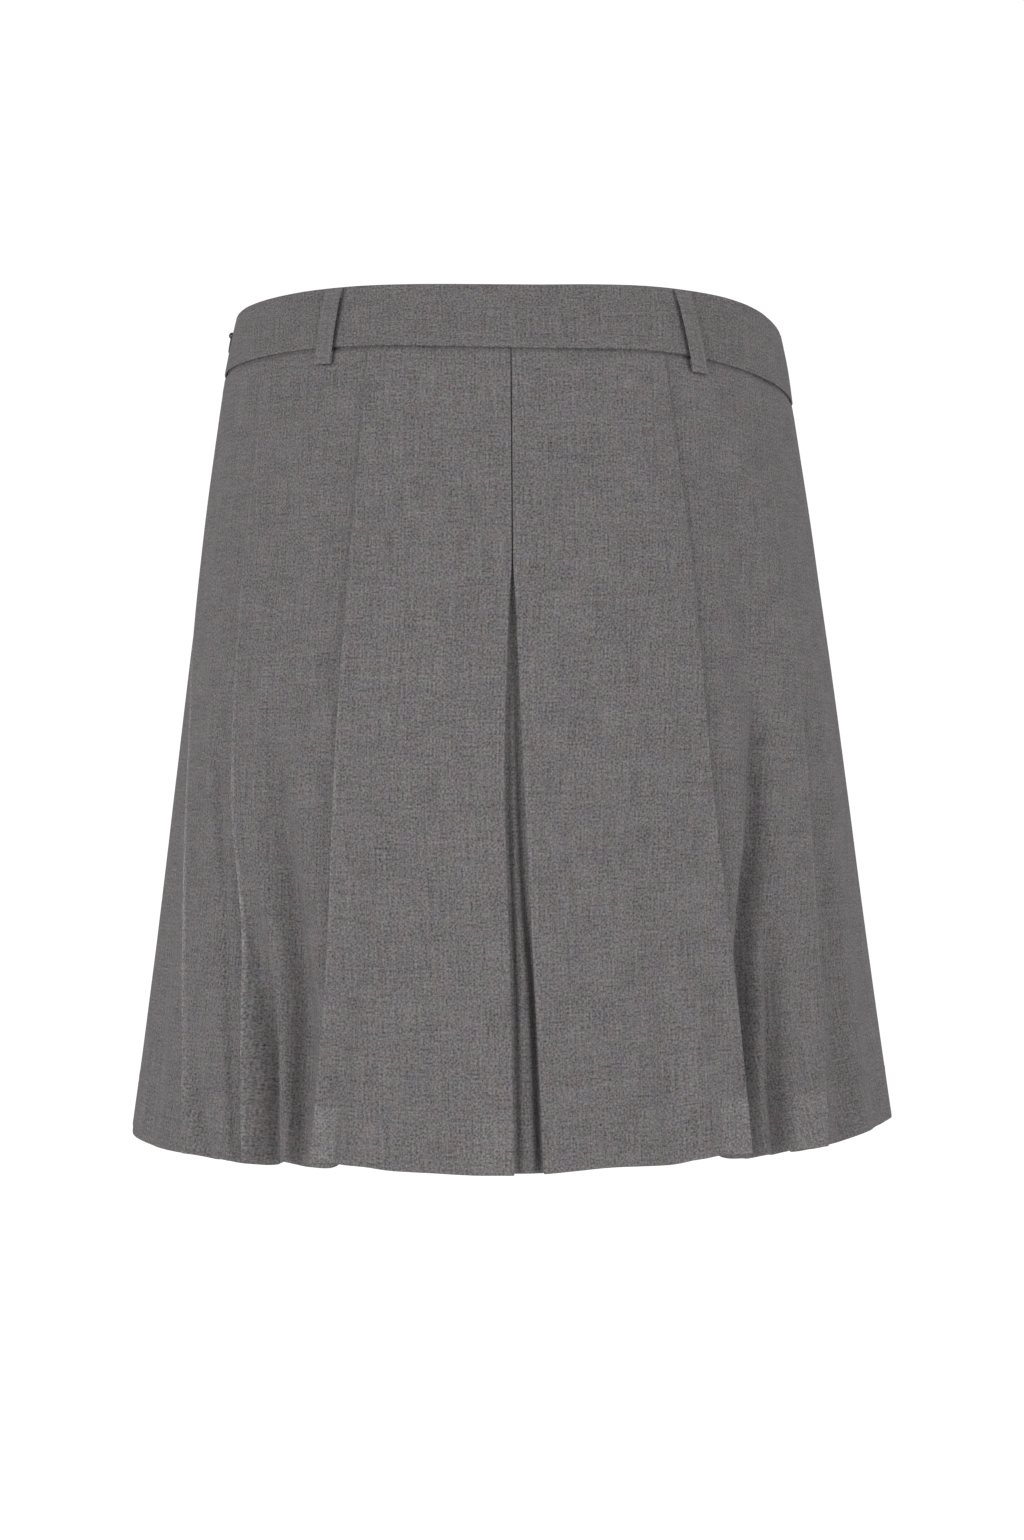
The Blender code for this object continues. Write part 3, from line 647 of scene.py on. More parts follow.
# the hem hangs lower in a trough, more so at the sides, from this height down
HANG_IN_TROUGH, HANG_AT_SIDE, HANGS_FROM = 0.17, 0.34, -285.0
WAVES_FROM, WAVES_OVER = -330.0, 47.0
# the last rows grow thinner, so that the hem's edge is round
HEM_EDGE_THINS = (1.0, 0.86, 0.62, 0.36)
# the unevenness of the hem: (arc, rise)
HEM_LINE = {
    BACK: ((-266.0, 0.3), (-225.0, -0.1), (-195.0, 0.0), (-165.0, 0.5), (-150.0, 0.3),
           (-134.0, -0.2), (-118.0, 1.6), (-104.0, 0.8), (-92.0, 0.3), (-60.0, 0.0), (-35.0, -0.8),
           (-10.0, -1.2), (8.0, -1.2), (22.0, -0.6), (36.0, 0.0), (60.0, -0.4), (85.0, 0.0),
           (105.0, -0.7), (122.0, -0.6), (135.0, -1.0), (160.0, -0.6), (220.0, 0.0), (266.0, -1.6)),
    FRONT: ((-266.0, 0.0), (-70.0, -0.5), (10.0, 0.4), (80.0, -0.4), (266.0, 0.0)),
}


def skirt_half(name, half):
    counts = run_counts(half)
    places, flat, press, shares = [], [], [], []
    for height in SKIRT_HEIGHTS:
        level = Level(height)
        path = cloth_path(level, half, counts)
        arc = path["arc"]
        free = path["out"] + OUTER_FACE + stack_creases(level, half, arc)
        layer = np.clip(path["out"] / ply_pitch(level) + 1, -1, 1)
        in_band = IN_BAND + 0.25 * layer + waist_wave(half, arc, height)
        out = mix(free, in_band, gripped(height))
        out -= SEAM_GROOVE * math.exp(-((height - BAND_BOTTOM + 0.5) / 0.9) ** 2)
        out += ALLOWANCE_PRINTS * math.exp(-((BAND_BOTTOM - 8.6 - height) / 0.9) ** 2)
        from_line = height - (HEM + TURN_UP)
        along = np.concatenate([[0.0], np.cumsum(np.hypot(np.diff(arc), np.diff(path["out"])))])
        along -= np.interp(0.5, np.linspace(0, 1, len(along)), along)
        prints = 0.5 + 0.5 * wander(along / 26.0, 0.0, 5 + half)
        out -= TURN_UP_PULLS_IN * turned_up(height)
        out += TURN_UP_PRINTS * prints * math.exp(-from_line ** 2)
        hang_share = HANG_IN_TROUGH + HANG_AT_SIDE * np.abs(arc / level.quarter[half]) ** 1.1
        hem_line = smooth(arc, *np.array(HEM_LINE[half]).T)
        near_the_hem = float(ease((HANGS_FROM - height) / (HANGS_FROM - HEM)))
        hang = (path["rise"] + hem_line + hang_share * np.minimum(free, 0)) * near_the_hem
        wave = 0.5 * wander(along / 42.0, 0.0, 2 + half) * float(ease((WAVES_FROM - height) / WAVES_OVER))
        places.append(level.place(half, arc, out, hang + wave))
        flat.append(np.stack([along, np.full_like(along, height)], axis=-1) * MM)
        press.append(path["press"])
        shares.append(wall_at(level) / WALL_DOUBLE)
    shares[-4:] = [shares[-4] * thins for thins in HEM_EDGE_THINS]
    places, flat, press = np.array(places), np.array(flat), np.array(press)
    obj, row, column = cloth_sheet(name, places, flat, turned_over=half == FRONT)
    # the painted highlight along the fold edges, which the material reads
    mark(obj, "press", press[row, column])
    thicken(obj, WALL_DOUBLE, row, shares)
    return obj, float(np.ptp(flat[-1, :, 0])), places


skirt_back, hem_length_back, back_places = skirt_half("skirt_back_cloth", BACK)
skirt_front, hem_length_front, front_places = skirt_half("skirt_front_cloth", FRONT)
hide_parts("skirt_back")
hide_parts("skirt_front")
print("points in the back:", len(skirt_back.data.vertices), "front:", len(skirt_front.data.vertices))

# %% [markdown]
# ## The waistband
# The band is a strip folded lengthwise. Its raw edges are turned up inside, and the skirt is sewn
# between them. The strip's outline is drawn once as a path from the inner edge over the fold to
# the outer edge, and the same grid carries it round the waist.

# %% The folded strip
BAND_PLY = 0.42
BAND_OUTER, BAND_INNER = 0.54, -1.64
BAND_FOLD = (BAND_OUTER - BAND_INNER) / 2
BAND_EDGE_TURN, BAND_EDGE_WIDTH = 0.25, 6.0
BAND_BULGE, END_CLOSES = 0.22, 0.34
# at the right joint: (dip in the seam, ridge of the pressed allowance)
JOINT_SHOWS = {BACK: (0.35, 0.45), FRONT: (0.3, 0.0)}
ZIP_GAP = 1.8


def band_profile():
    """(height, out) of the strip, from the turned-in inner edge to the turned-in outer one."""
    middle = (BAND_OUTER + BAND_INNER) / 2
    foot = BAND_BOTTOM + BAND_EDGE_TURN + BAND_PLY / 2
    crown = BAND_TOP - BAND_FOLD - BAND_PLY / 2
    half_turn = np.linspace(0, math.pi, 6)
    inner_turn = [(foot - BAND_EDGE_TURN * math.sin(a),
                   BAND_INNER + BAND_EDGE_TURN * (1 + math.cos(a))) for a in half_turn]
    outer_turn = [(foot - BAND_EDGE_TURN * math.sin(a),
                   BAND_OUTER - BAND_EDGE_TURN * (1 - math.cos(a))) for a in half_turn]
    fold = [(crown + BAND_FOLD * math.sin(a), middle - BAND_FOLD * math.cos(a))
            for a in np.linspace(0, math.pi, 9)]
    up = np.linspace(foot + 2.0, crown - 2.0, 7)
    inside = [(foot + BAND_EDGE_WIDTH, inner_turn[0][1])] + inner_turn + [(h, BAND_INNER) for h in up]
    outside = [(h, BAND_OUTER) for h in up[::-1]] + outer_turn
    return np.array(inside + fold + outside + [(foot + BAND_EDGE_WIDTH, outer_turn[-1][1])])


def waistband(name, half):
    profile = band_profile()
    share = np.concatenate([[0.0, 0.0012, 0.003], np.linspace(0.006, 0.994, 121), [0.997, 0.9988, 1.0]])
    along_profile = np.concatenate([[0.0], np.cumsum(np.hypot(*np.diff(profile, axis=0).T))])
    places, flat = [], []
    for (height, out), down_strip in zip(profile, along_profile):
        level = Level(min(max(height, BAND_BOTTOM), BAND_TOP))
        left = ZIP_GAP / 2 - level.quarter[half]
        right = level.quarter[half] + SEAM_PRESSED
        arc = mix(left, right, share)
        on_face = float(np.clip((abs(out - IN_BAND) - 0.5) / 0.5, 0, 1)) * (1 if out > IN_BAND else 0.5)
        from_end = np.minimum(arc - left, right - arc)
        closing = END_CLOSES * (1 - ease(from_end / 1.2)) * np.sign(IN_BAND - out)
        dip, ridge = JOINT_SHOWS[half]
        joint = ridge * hump(arc - (right - 15.0 + 0.12 * height), 2.6) - dip * hump(right - arc, 3.0)
        bulge = BAND_BULGE * math.cos(math.pi * height / (BAND_TOP - BAND_BOTTOM))
        out_here = out + closing + waist_wave(half, arc, height) + on_face * (joint + bulge)
        places.append(level.place(half, arc, out_here, height - level.height))
        flat.append(np.stack([arc, np.full_like(arc, down_strip)], axis=-1) * MM)
    obj, row, column = cloth_sheet(name, np.array(places), np.array(flat), turned_over=half == BACK)
    thicken(obj, BAND_PLY)
    return obj, float(along_profile[-1]), 2 * Level(0.0).quarter[half]


band_back, strip_width, band_back_length = waistband("waistband_back_cloth", BACK)
band_front, _, band_front_length = waistband("waistband_front_cloth", FRONT)
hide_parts("waistband_back")
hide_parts("waistband_front")
print("waistband strip:", round(strip_width, 1), "mm wide before it is folded")

# %% [markdown]
# ## Belt loops
# A loop is a narrow strip, stitched along both edges and folded under at its two ends, which
# makes the thick foot and the dark line below it. It is a grid of its own that stands off the
# waistband by the room for a belt.

# %% Loop strips
# (node, half, arc at the top, arc at the foot)
LOOPS = (
    ("belt_loop_back_left", BACK, -86.8, -93.0),
    ("belt_loop_back_right", BACK, 78.4, 86.8),
    ("belt_loop_front_left", FRONT, -80.0, -87.0),
    ("belt_loop_front_right", FRONT, 80.0, 87.0),
)
LOOP_WIDTH, LOOP_PLY = 9.3, 0.8
# (height, middle of the outer ply) from the top fold to the foot fold
LOOP_LINE = ((-25.0, 2.05), (-21.5, 2.15), (-17.0, 2.4), (-9.0, 2.9), (-1.0, 3.05), (7.0, 2.9),
             (13.5, 2.25), (17.0, 1.85))
LOOP_REACH = BAND_TOP - LOOP_LINE[0][0]
LOOP_TURN, LOOP_TUCK = 0.42, 5.0
# across the strip: share of the half width, and how far out the pressed edge and stitches pull
LOOP_ACROSS = (-1, -0.97, -0.9, -0.72, -0.45, -0.15, 0.15, 0.45, 0.72, 0.9, 0.97, 1)
LOOP_PULL = (-0.16, -0.05, 0.03, 0.0, 0.03, 0.05, 0.05, 0.03, 0.0, 0.03, -0.05, -0.16)


def loop_profile():
    """(height, out) down the outer ply, with a fold under at each end."""
    heights, outs = np.array(LOOP_LINE).T
    top, foot = BAND_TOP - 1.3 - LOOP_PLY / 2, heights[0] + 0.82
    half_turn = np.linspace(0, math.pi, 6)
    face = np.linspace(top, foot, 26)
    out_top, out_foot = smooth(top, heights, outs), smooth(foot, heights, outs)
    tuck_top = [(h, out_top - 2 * LOOP_TURN) for h in np.linspace(top - LOOP_TUCK, top, 5)[:-1]]
    over = [(top + LOOP_TURN * math.sin(a), out_top - LOOP_TURN * (1 + math.cos(a))) for a in half_turn]
    under = [(foot - LOOP_TURN * math.sin(a), out_foot - LOOP_TURN * (1 - math.cos(a)))
             for a in half_turn]
    tuck_foot = [(h, out_foot - 2 * LOOP_TURN) for h in np.linspace(foot, foot + LOOP_TUCK, 5)[1:]]
    outer = [(h, float(smooth(h, heights, outs))) for h in face[1:-1]]
    return np.array(tuck_top + over + outer + under + tuck_foot)


def loop_arc(height, arc_top, arc_foot):
    return mix(arc_top, arc_foot, np.clip((BAND_TOP - height) / LOOP_REACH, 0, 1))


def belt_loop(node, half, arc_top, arc_foot):
    profile = loop_profile()
    across = (LOOP_WIDTH - LOOP_PLY) / 2 * np.array(LOOP_ACROSS)
    pull = np.array(LOOP_PULL)
    down_strip = np.concatenate([[0.0], np.cumsum(np.hypot(*np.diff(profile, axis=0).T))])
    places, flat = [], []
    for (height, out), down_here in zip(profile, down_strip):
        level = Level(height)
        arc = loop_arc(height, arc_top, arc_foot) + across
        outside = out > smooth(height, *np.array(LOOP_LINE).T) - LOOP_TURN
        places.append(level.place(half, arc, out + pull * (1 if outside else 0.3)))
        flat.append(np.stack([across + 20.0 * half, np.full_like(across, down_here)], axis=-1) * MM)
    obj, _, _ = cloth_sheet(node + "_strip", np.array(places), np.array(flat),
                            turned_over=half == FRONT)
    thicken(obj, LOOP_PLY)
    soft = obj.modifiers.new("soft edges", "BEVEL")
    soft.width = 0.22 * MM
    soft.segments = 2
    soft.limit_method = "ANGLE"
    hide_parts(node)
    return obj, float(down_strip[-1])


loops = [belt_loop(*row) for row in LOOPS]
print("loop strip:", round(loops[0][1], 1), "mm long with both ends folded under")

# %% [markdown]
# ## Stitches
# Thread shows as short grains that sink at both ends. Each is a small sphere, drawn out and laid
# on its strip, because only its length and its shadow can be seen at this size. The loops have a
# row by each edge and a close bar of thread at the foot.

# %% Thread on the loops
STITCH_LONG, STITCH_WIDE, STITCH_PITCH = 1.75, 0.34, 2.35
STITCH_SIDES, STITCH_RINGS = 7, 5
STITCH_FROM_EDGE, STITCH_SINKS = 1.45, 0.02
# the bar of thread at the foot
BAR_HEIGHT, BAR_STITCHES, BAR_PITCH, BAR_LONG, BAR_WIDE = -21.2, 9, 0.72, 1.5, 0.3


def lay_stitch(work, half, height, arc, out, direction, long, wide):
    """One stitch on the worn shape, drawn out along a direction given in (arc, height)."""
    here = Vector(Level(height).place(half, arc, out).tolist())
    ahead_height, ahead_arc = height + direction[1], arc + direction[0]
    ahead = Vector(Level(ahead_height).place(half, ahead_arc, out).tolist())
    outward = Vector(Level(height).place(half, arc, out + 1.0).tolist()) - here
    line = (ahead - here).normalized()
    across = outward.cross(line).normalized()
    outward = line.cross(across).normalized()
    turn_to = Matrix((across, line, outward)).transposed().to_4x4()
    size = Matrix.Diagonal((wide / 2 * MM, long / 2 * MM, wide / 2 * MM, 1.0))
    bmesh.ops.create_uvsphere(work, u_segments=STITCH_SIDES, v_segments=STITCH_RINGS, radius=1.0,
                              matrix=Matrix.Translation(here) @ turn_to @ size)


def thread_piece(name, work):
    bmesh.ops.recalc_face_normals(work, faces=work.faces)
    mesh = bpy.data.meshes.new(name)
    work.to_mesh(mesh)
    work.free()
    mesh.polygons.foreach_set("use_smooth", np.ones(len(mesh.polygons), bool))
    obj = bpy.data.objects.new(name, mesh)
    bpy.context.scene.collection.objects.link(obj)
    garment_pieces.append(obj)
    return obj


def loop_face(height):
    """How far out thread lies on the face of a loop."""
    return float(smooth(height, *np.array(LOOP_LINE).T)) + LOOP_PLY / 2 - STITCH_SINKS


def loop_stitches(node, half, arc_top, arc_foot):
    work = bmesh.new()
    lean = (arc_top - arc_foot) / LOOP_REACH
    for row in (-1, 1):
        for height in np.arange(14.6, -23.0, -STITCH_PITCH):
            arc = loop_arc(height, arc_top, arc_foot) + row * (LOOP_WIDTH / 2 - STITCH_FROM_EDGE)
            lay_stitch(work, half, height, arc, loop_face(height), (lean, 1.0), STITCH_LONG, STITCH_WIDE)
    for k in range(BAR_STITCHES):
        arc = loop_arc(BAR_HEIGHT, arc_top, arc_foot) + (k - BAR_STITCHES // 2) * BAR_PITCH
        lay_stitch(work, half, BAR_HEIGHT, arc, loop_face(BAR_HEIGHT), (lean + 0.25, 1.0), BAR_LONG,
                   BAR_WIDE)
    return thread_piece(node + "_stitches", work)


loop_threads = [loop_stitches(*row) for row in LOOPS]
STITCH_FACES = STITCH_SIDES * STITCH_RINGS
print("stitches:", sum(len(thread.data.polygons) for thread in loop_threads) // STITCH_FACES)

# %% [markdown]
# ## The zip
# A side zip is two woven tapes, each with half of a nylon coil along its edge. The tapes lie
# behind the seam allowances. A coil could be a true helix, but hidden in the seam each turn shows
# only as a small rounded bar, so each is one drawn-out sphere.

# %% Tapes
TAPE_TOP, TAPE_FOOT = 13.5, -140.0
TAPE_NEAR, TAPE_FAR, TAPE_PLY = 0.9, 9.9, 0.5
# how far behind: the skirt's cloth, the waist seam, and the band
TAPE_UNDER, TAPE_AT_SEAM, TAPE_IN_BAND = 2.2, -4.05, -2.85


def tape_out(level, half, from_seam):
    """How far out the tape lies: behind the band, then behind the seam allowance."""
    if level.height > BAND_BOTTOM:
        behind_skirt = TAPE_AT_SEAM
    else:
        first = Pleat(PLEATS[half][0], half, level)
        arc = np.array([from_seam - level.quarter[half]])
        behind_skirt = run_out(level, half, 0, arc, None, first)[0] - TAPE_UNDER
    return mix(TAPE_IN_BAND, behind_skirt, float(ease((-8.0 - level.height) / 12.0)))


def zip_tape(name, half):
    places, flat = [], []
    across = np.linspace(TAPE_NEAR, TAPE_FAR, 9)
    for height in np.linspace(TAPE_TOP, TAPE_FOOT, 64):
        level = Level(height)
        out = [tape_out(level, half, a) for a in across]
        places.append(level.place(half, across - level.quarter[half], out))
        flat.append(np.stack([across, np.full_like(across, height)], axis=-1) * MM)
    obj, _, _ = cloth_sheet(name, np.array(places), np.array(flat), turned_over=half == FRONT)
    thicken(obj, TAPE_PLY)
    return obj


tape_back, tape_front = zip_tape("zip_tape_back_woven", BACK), zip_tape("zip_tape_front_woven", FRONT)
print("zip tapes:", TAPE_TOP - TAPE_FOOT, "mm long")

# %% [markdown]
# The turns of one side lie between the turns of the other, half a turn lower. They start under
# the slider, because the real coil ends there too.

# %% Coils
COIL_TOP, COIL_PITCH, COIL_NEAR = 0.8, 1.4, 1.2
COIL_LONG, COIL_THICK = 2.1, 0.8


def zip_coil(name, half):
    work = bmesh.new()
    shift = 0.0 if half == BACK else COIL_PITCH / 2
    for height in np.arange(COIL_TOP - 0.4 - shift, TAPE_FOOT + 1.0, -COIL_PITCH):
        level = Level(height)
        out = tape_out(level, half, COIL_NEAR) - TAPE_PLY / 2 - 0.42
        lay_stitch(work, half, height, COIL_NEAR - level.quarter[half], out, (1.0, 0.0), COIL_LONG,
                   COIL_THICK)
    return thread_piece(name, work)


coil_back, coil_front = zip_coil("zip_coil_back", BACK), zip_coil("zip_coil_front", FRONT)
for obj, node in ((tape_back, "zip_tape_back"), (coil_back, "zip_tape_back"),
                  (tape_front, "zip_tape_front"), (coil_front, "zip_tape_front")):
    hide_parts(node)
print("coil turns on the back's side:", len(coil_back.data.polygons) // STITCH_FACES)

# %% [markdown]
# ## Materials: node groups
# Suiting is spun from light and dark fibres, so a yard away it is a salt-and-pepper grey with
# faint streaks where a yarn is thicker, on a steep twill. An image of cloth would repeat and
# stretch. Noise on the flat cut keeps the true size of a yarn everywhere. The same group, with
# other values, makes the waistband, the loops and the zip tape.

# %% Helpers for shader nodes
def node(tree, kind, settings=None, **inputs):
    made = tree.nodes.new(kind)
    for key, value in (settings or {}).items():
        setattr(made, key, value)
    for key, value in inputs.items():
        feed(tree, made, key, value)
    return made


def feed(tree, target, key, value):
    """Set a socket to a value, or link another node's first output to it."""
    socket = target.inputs[int(key[1:])] if key[0] == "i" and key[1:].isdigit() else target.inputs[key]
    if isinstance(value, bpy.types.Node):
        value = value.outputs[0]
    if isinstance(value, bpy.types.NodeSocket):
        tree.links.new(value, socket)
    else:
        socket.default_value = value


def math_node(tree, operation, a, b=0.0, c=0.0):
    return node(tree, "ShaderNodeMath", {"operation": operation}, i0=a, i1=b, i2=c)


def streaks(tree, place, along, across, detail=2.0):
    """Noise drawn out in one direction, from -1 to 1, with its grain in parts of a millimetre."""
    scaled = node(tree, "ShaderNodeVectorMath", {"operation": "MULTIPLY"}, i0=place,
                  i1=(along, across, 1.0))
    noise = node(tree, "ShaderNodeTexNoise", {"noise_dimensions": "2D"}, Vector=scaled, Scale=1.0,
                 Detail=detail, Roughness=0.6)
    return node(tree, "ShaderNodeMapRange", {}, i0=noise.outputs[0], i1=0.28, i2=0.72, i3=-1.0, i4=1.0)


def new_group(name, inputs, outputs):
    tree = bpy.data.node_groups.new(name, "ShaderNodeTree")
    for label, kind, value in inputs:
        socket = tree.interface.new_socket(label, in_out="INPUT", socket_type=kind)
        if value is not None:
            socket.default_value = value
    for label, kind in outputs:
        tree.interface.new_socket(label, in_out="OUTPUT", socket_type=kind)
    return tree, tree.nodes.new("NodeGroupInput"), tree.nodes.new("NodeGroupOutput")


# %% [markdown]
# The weave reads the flat cut in millimetres. Fine noise is the fibre, noise drawn out along the
# cloth is the warp and drawn out across it the weft, and a sine on a slant is the twill. A little
# noise in the colour stands for the mixed dyes of the yarn.

# %% The suiting weave
def in_millimetres(tree, place):
    scaled = node(tree, "ShaderNodeVectorMath", {"operation": "SCALE"}, i0=place)
    scaled.inputs["Scale"].default_value = 1.0 / MM
    return scaled


def suiting_group():
    tree, given, made = new_group(
        "suiting_weave",
        (("Cut", "NodeSocketVector", None), ("Yarn", "NodeSocketColor", (0.15, 0.14, 0.14, 1)),
         ("Fibre contrast", "NodeSocketFloat", 0.5), ("Streak contrast", "NodeSocketFloat", 0.14),
         ("Blotch contrast", "NodeSocketFloat", 0.04), ("Twill pitch", "NodeSocketFloat", 0.85)),
        (("Colour", "NodeSocketColor"), ("Relief", "NodeSocketFloat"), ("Roughness", "NodeSocketFloat")))
    place = in_millimetres(tree, given.outputs["Cut"])
    fibre = streaks(tree, place, 1.05, 1.05, 3.0)
    warp = streaks(tree, place, 1.3, 0.04)
    weft = streaks(tree, place, 0.11, 1.2)
    slub = streaks(tree, place, 0.035, 0.42, 1.0)
    blotch = streaks(tree, place, 0.05, 0.07, 3.0)
    parts = node(tree, "ShaderNodeSeparateXYZ", {}, i0=place)
    lean = math_node(tree, "MULTIPLY_ADD", parts.outputs[1], 0.62, parts.outputs[0])
    wobble = math_node(tree, "MULTIPLY_ADD", warp, 0.12, lean)
    phase = math_node(tree, "DIVIDE", wobble, given.outputs["Twill pitch"])
    twill = math_node(tree, "SINE", math_node(tree, "MULTIPLY", phase, 2 * math.pi))
    cross = math_node(tree, "MULTIPLY_ADD", slub, 0.4, math_node(tree, "MULTIPLY", weft, 0.85))
    both = math_node(tree, "MULTIPLY_ADD", warp, 1.15, cross)
    light = math_node(tree, "MULTIPLY_ADD", fibre, given.outputs["Fibre contrast"], 1.0)
    light = math_node(tree, "MULTIPLY_ADD", both, given.outputs["Streak contrast"], light)
    light = math_node(tree, "MULTIPLY_ADD", blotch, given.outputs["Blotch contrast"], light)
    light = math_node(tree, "MULTIPLY_ADD", twill, 0.05, light)
    shift = node(tree, "ShaderNodeTexNoise", {"noise_dimensions": "2D"}, Vector=place, Scale=0.12,
                 Detail=5.0, Roughness=0.72)
    hue = node(tree, "ShaderNodeMix", {"data_type": "RGBA", "blend_type": "MIX"})
    feed(tree, hue, "Factor", 0.12)
    feed(tree, hue, "i6", (0.5, 0.5, 0.5, 1.0))
    feed(tree, hue, "i7", shift.outputs["Color"])
    doubled = node(tree, "ShaderNodeVectorMath", {"operation": "SCALE"}, i0=hue.outputs[2])
    doubled.inputs["Scale"].default_value = 2.0
    tint = node(tree, "ShaderNodeVectorMath", {"operation": "MULTIPLY"}, i0=given.outputs["Yarn"],
                i1=doubled)
    colour = node(tree, "ShaderNodeVectorMath", {"operation": "SCALE"}, i0=tint)
    tree.links.new(light.outputs[0], colour.inputs["Scale"])
    relief = math_node(tree, "MULTIPLY_ADD", fibre, 0.55, math_node(tree, "MULTIPLY", twill, 0.35))
    relief = math_node(tree, "MULTIPLY_ADD", warp, 0.35, relief)
    relief = math_node(tree, "MULTIPLY_ADD", weft, 0.25, relief)
    rough = math_node(tree, "MULTIPLY_ADD", fibre, -0.05, 0.88)
    for label, source in (("Colour", colour), ("Relief", relief), ("Roughness", rough)):
        feed(tree, made, label, source)
    return tree


suiting = suiting_group()
print("suiting group:", len(suiting.nodes), "nodes")

# %% [markdown]
# The fold edges carry a painted highlight: the shell has a mark along them where the light
# catches them, and this group makes the colour paler there, broken up by noise.

# %% Painted highlight on the fold edges
def highlight_group():
    tree, given, made = new_group(
        "painted_highlight_edge",
        (("Colour", "NodeSocketColor", (0.15, 0.14, 0.14, 1)), ("Cut", "NodeSocketVector", None),
         ("Mark", "NodeSocketFloat", 0.0), ("Paler", "NodeSocketFloat", 0.3)),
        (("Colour", "NodeSocketColor"),))
    patch = streaks(tree, in_millimetres(tree, given.outputs["Cut"]), 0.4, 0.09)
    amount = math_node(tree, "MULTIPLY_ADD", patch, 0.35, 0.65)
    amount = math_node(tree, "MULTIPLY", amount, given.outputs["Mark"])
    gain = math_node(tree, "MULTIPLY_ADD", amount, given.outputs["Paler"], 1.0)
    colour = node(tree, "ShaderNodeVectorMath", {"operation": "SCALE"}, i0=given.outputs["Colour"])
    tree.links.new(gain.outputs[0], colour.inputs["Scale"])
    feed(tree, made, "Colour", colour)
    return tree


highlight_paint = highlight_group()
print("pressed edge group:", len(highlight_paint.nodes), "nodes")

# %% [markdown]
# One function makes every cloth from the groups, with its own yarn and contrasts. The band and
# the loops are cut from the same bolt as the skirt, but pressed harder. Wool-like cloth has no
# gloss, only a faint sheen where loose fibres catch the light from the side.

# %% Cloth materials from the groups
def use_group(tree, group, **inputs):
    made = tree.nodes.new("ShaderNodeGroup")
    made.node_tree = group
    for key, value in inputs.items():
        feed(tree, made, key.replace("_", " "), value)
    return made


def cloth_material(name, yarn, fibre=0.56, streak=0.15, blotch=0.05, twill=0.85, relief=0.10,
                   sheen=0.18, painted_highlight_on=False):
    mat = bpy.data.materials.new(name)
    mat.use_nodes = True
    tree = mat.node_tree
    shader = tree.nodes["Principled BSDF"]
    cut = node(tree, "ShaderNodeUVMap", {"uv_map": "cut"})
    weave = use_group(tree, suiting, Cut=cut, Yarn=(*yarn, 1.0), Fibre_contrast=fibre,
                      Streak_contrast=streak, Blotch_contrast=blotch, Twill_pitch=twill)
    colour = weave.outputs["Colour"]
    # the painted highlight along the fold edges, read from the shell's mark
    if painted_highlight_on:
        edge = node(tree, "ShaderNodeAttribute", {"attribute_name": "press"})
        colour = use_group(tree, highlight_paint, Colour=colour, Cut=cut, Mark=edge.outputs["Fac"],
                           Paler=0.32).outputs[0]
    bump = node(tree, "ShaderNodeBump", {}, Strength=1.0, Distance=relief * MM)
    feed(tree, bump, "Height", weave.outputs["Relief"])
    feed(tree, shader, "Base Color", colour)
    feed(tree, shader, "Roughness", weave.outputs["Roughness"])
    feed(tree, shader, "Normal", bump)
    shader.inputs["Specular IOR Level"].default_value = 0.22
    shader.inputs["Sheen Weight"].default_value = sheen
    shader.inputs["Sheen Roughness"].default_value = 0.55
    shader.inputs["Sheen Tint"].default_value = (0.62, 0.60, 0.61, 1.0)
    return mat


SUITING_GREY = (0.150, 0.140, 0.1425)
suiting_skirt = cloth_material("grey_suiting", SUITING_GREY, painted_highlight_on=True)
suiting_band = cloth_material("grey_suiting_band", (0.147, 0.137, 0.139), twill=0.80)
suiting_loops = cloth_material("grey_suiting_loops", (0.150, 0.141, 0.143), twill=1.10, fibre=0.4)
tape_weave = cloth_material("woven_zip_tape", (0.060, 0.056, 0.059), fibre=0.14, streak=0.12,
                            twill=0.55, relief=0.08, sheen=0.1)
print("cloths:", [cloth.name for cloth in (suiting_skirt, suiting_band, suiting_loops, tape_weave)])

# %% [markdown]
# Sewing thread is polyester: smooth, with a soft shine and tightly twisted. The coil is nylon.
# The pull and the slider are die-cast and lacquered dark grey, with the lacquer a little uneven,
# so their colour and gloss come from noise in the piece's own coordinates.

# %% Thread, nylon and lacquered metal
def fine_material(name, colour, spread, roughness, grain, relief, metallic=0.0, coat=0.0):
    """A hard or shiny finish with small unevenness in colour, gloss and height."""
    mat = bpy.data.materials.new(name)
    mat.use_nodes = True
    tree = mat.node_tree
    shader = tree.nodes["Principled BSDF"]
    here = node(tree, "ShaderNodeTexCoord").outputs["Object"]
    noise = node(tree, "ShaderNodeTexNoise", {}, Vector=here, Scale=grain, Detail=3.0, Roughness=0.6)
    ramp = node(tree, "ShaderNodeValToRGB", {}, i0=noise.outputs[0])
    for k, share in enumerate((1.0 - spread, 1.0 + spread)):
        ramp.color_ramp.elements[k].position = 0.3 + 0.4 * k
        ramp.color_ramp.elements[k].color = (*(c * share for c in colour), 1.0)
    rough = node(tree, "ShaderNodeMapRange", {}, i0=noise.outputs[0], i1=0.3, i2=0.7,
                 i3=roughness - 0.06, i4=roughness + 0.08)
    bump = node(tree, "ShaderNodeBump", {}, Strength=1.0, Distance=relief * MM)
    feed(tree, bump, "Height", noise.outputs[0])
    feed(tree, shader, "Base Color", ramp)
    feed(tree, shader, "Roughness", rough)
    feed(tree, shader, "Normal", bump)
    shader.inputs["Metallic"].default_value = metallic
    shader.inputs["Coat Weight"].default_value = coat
    return mat


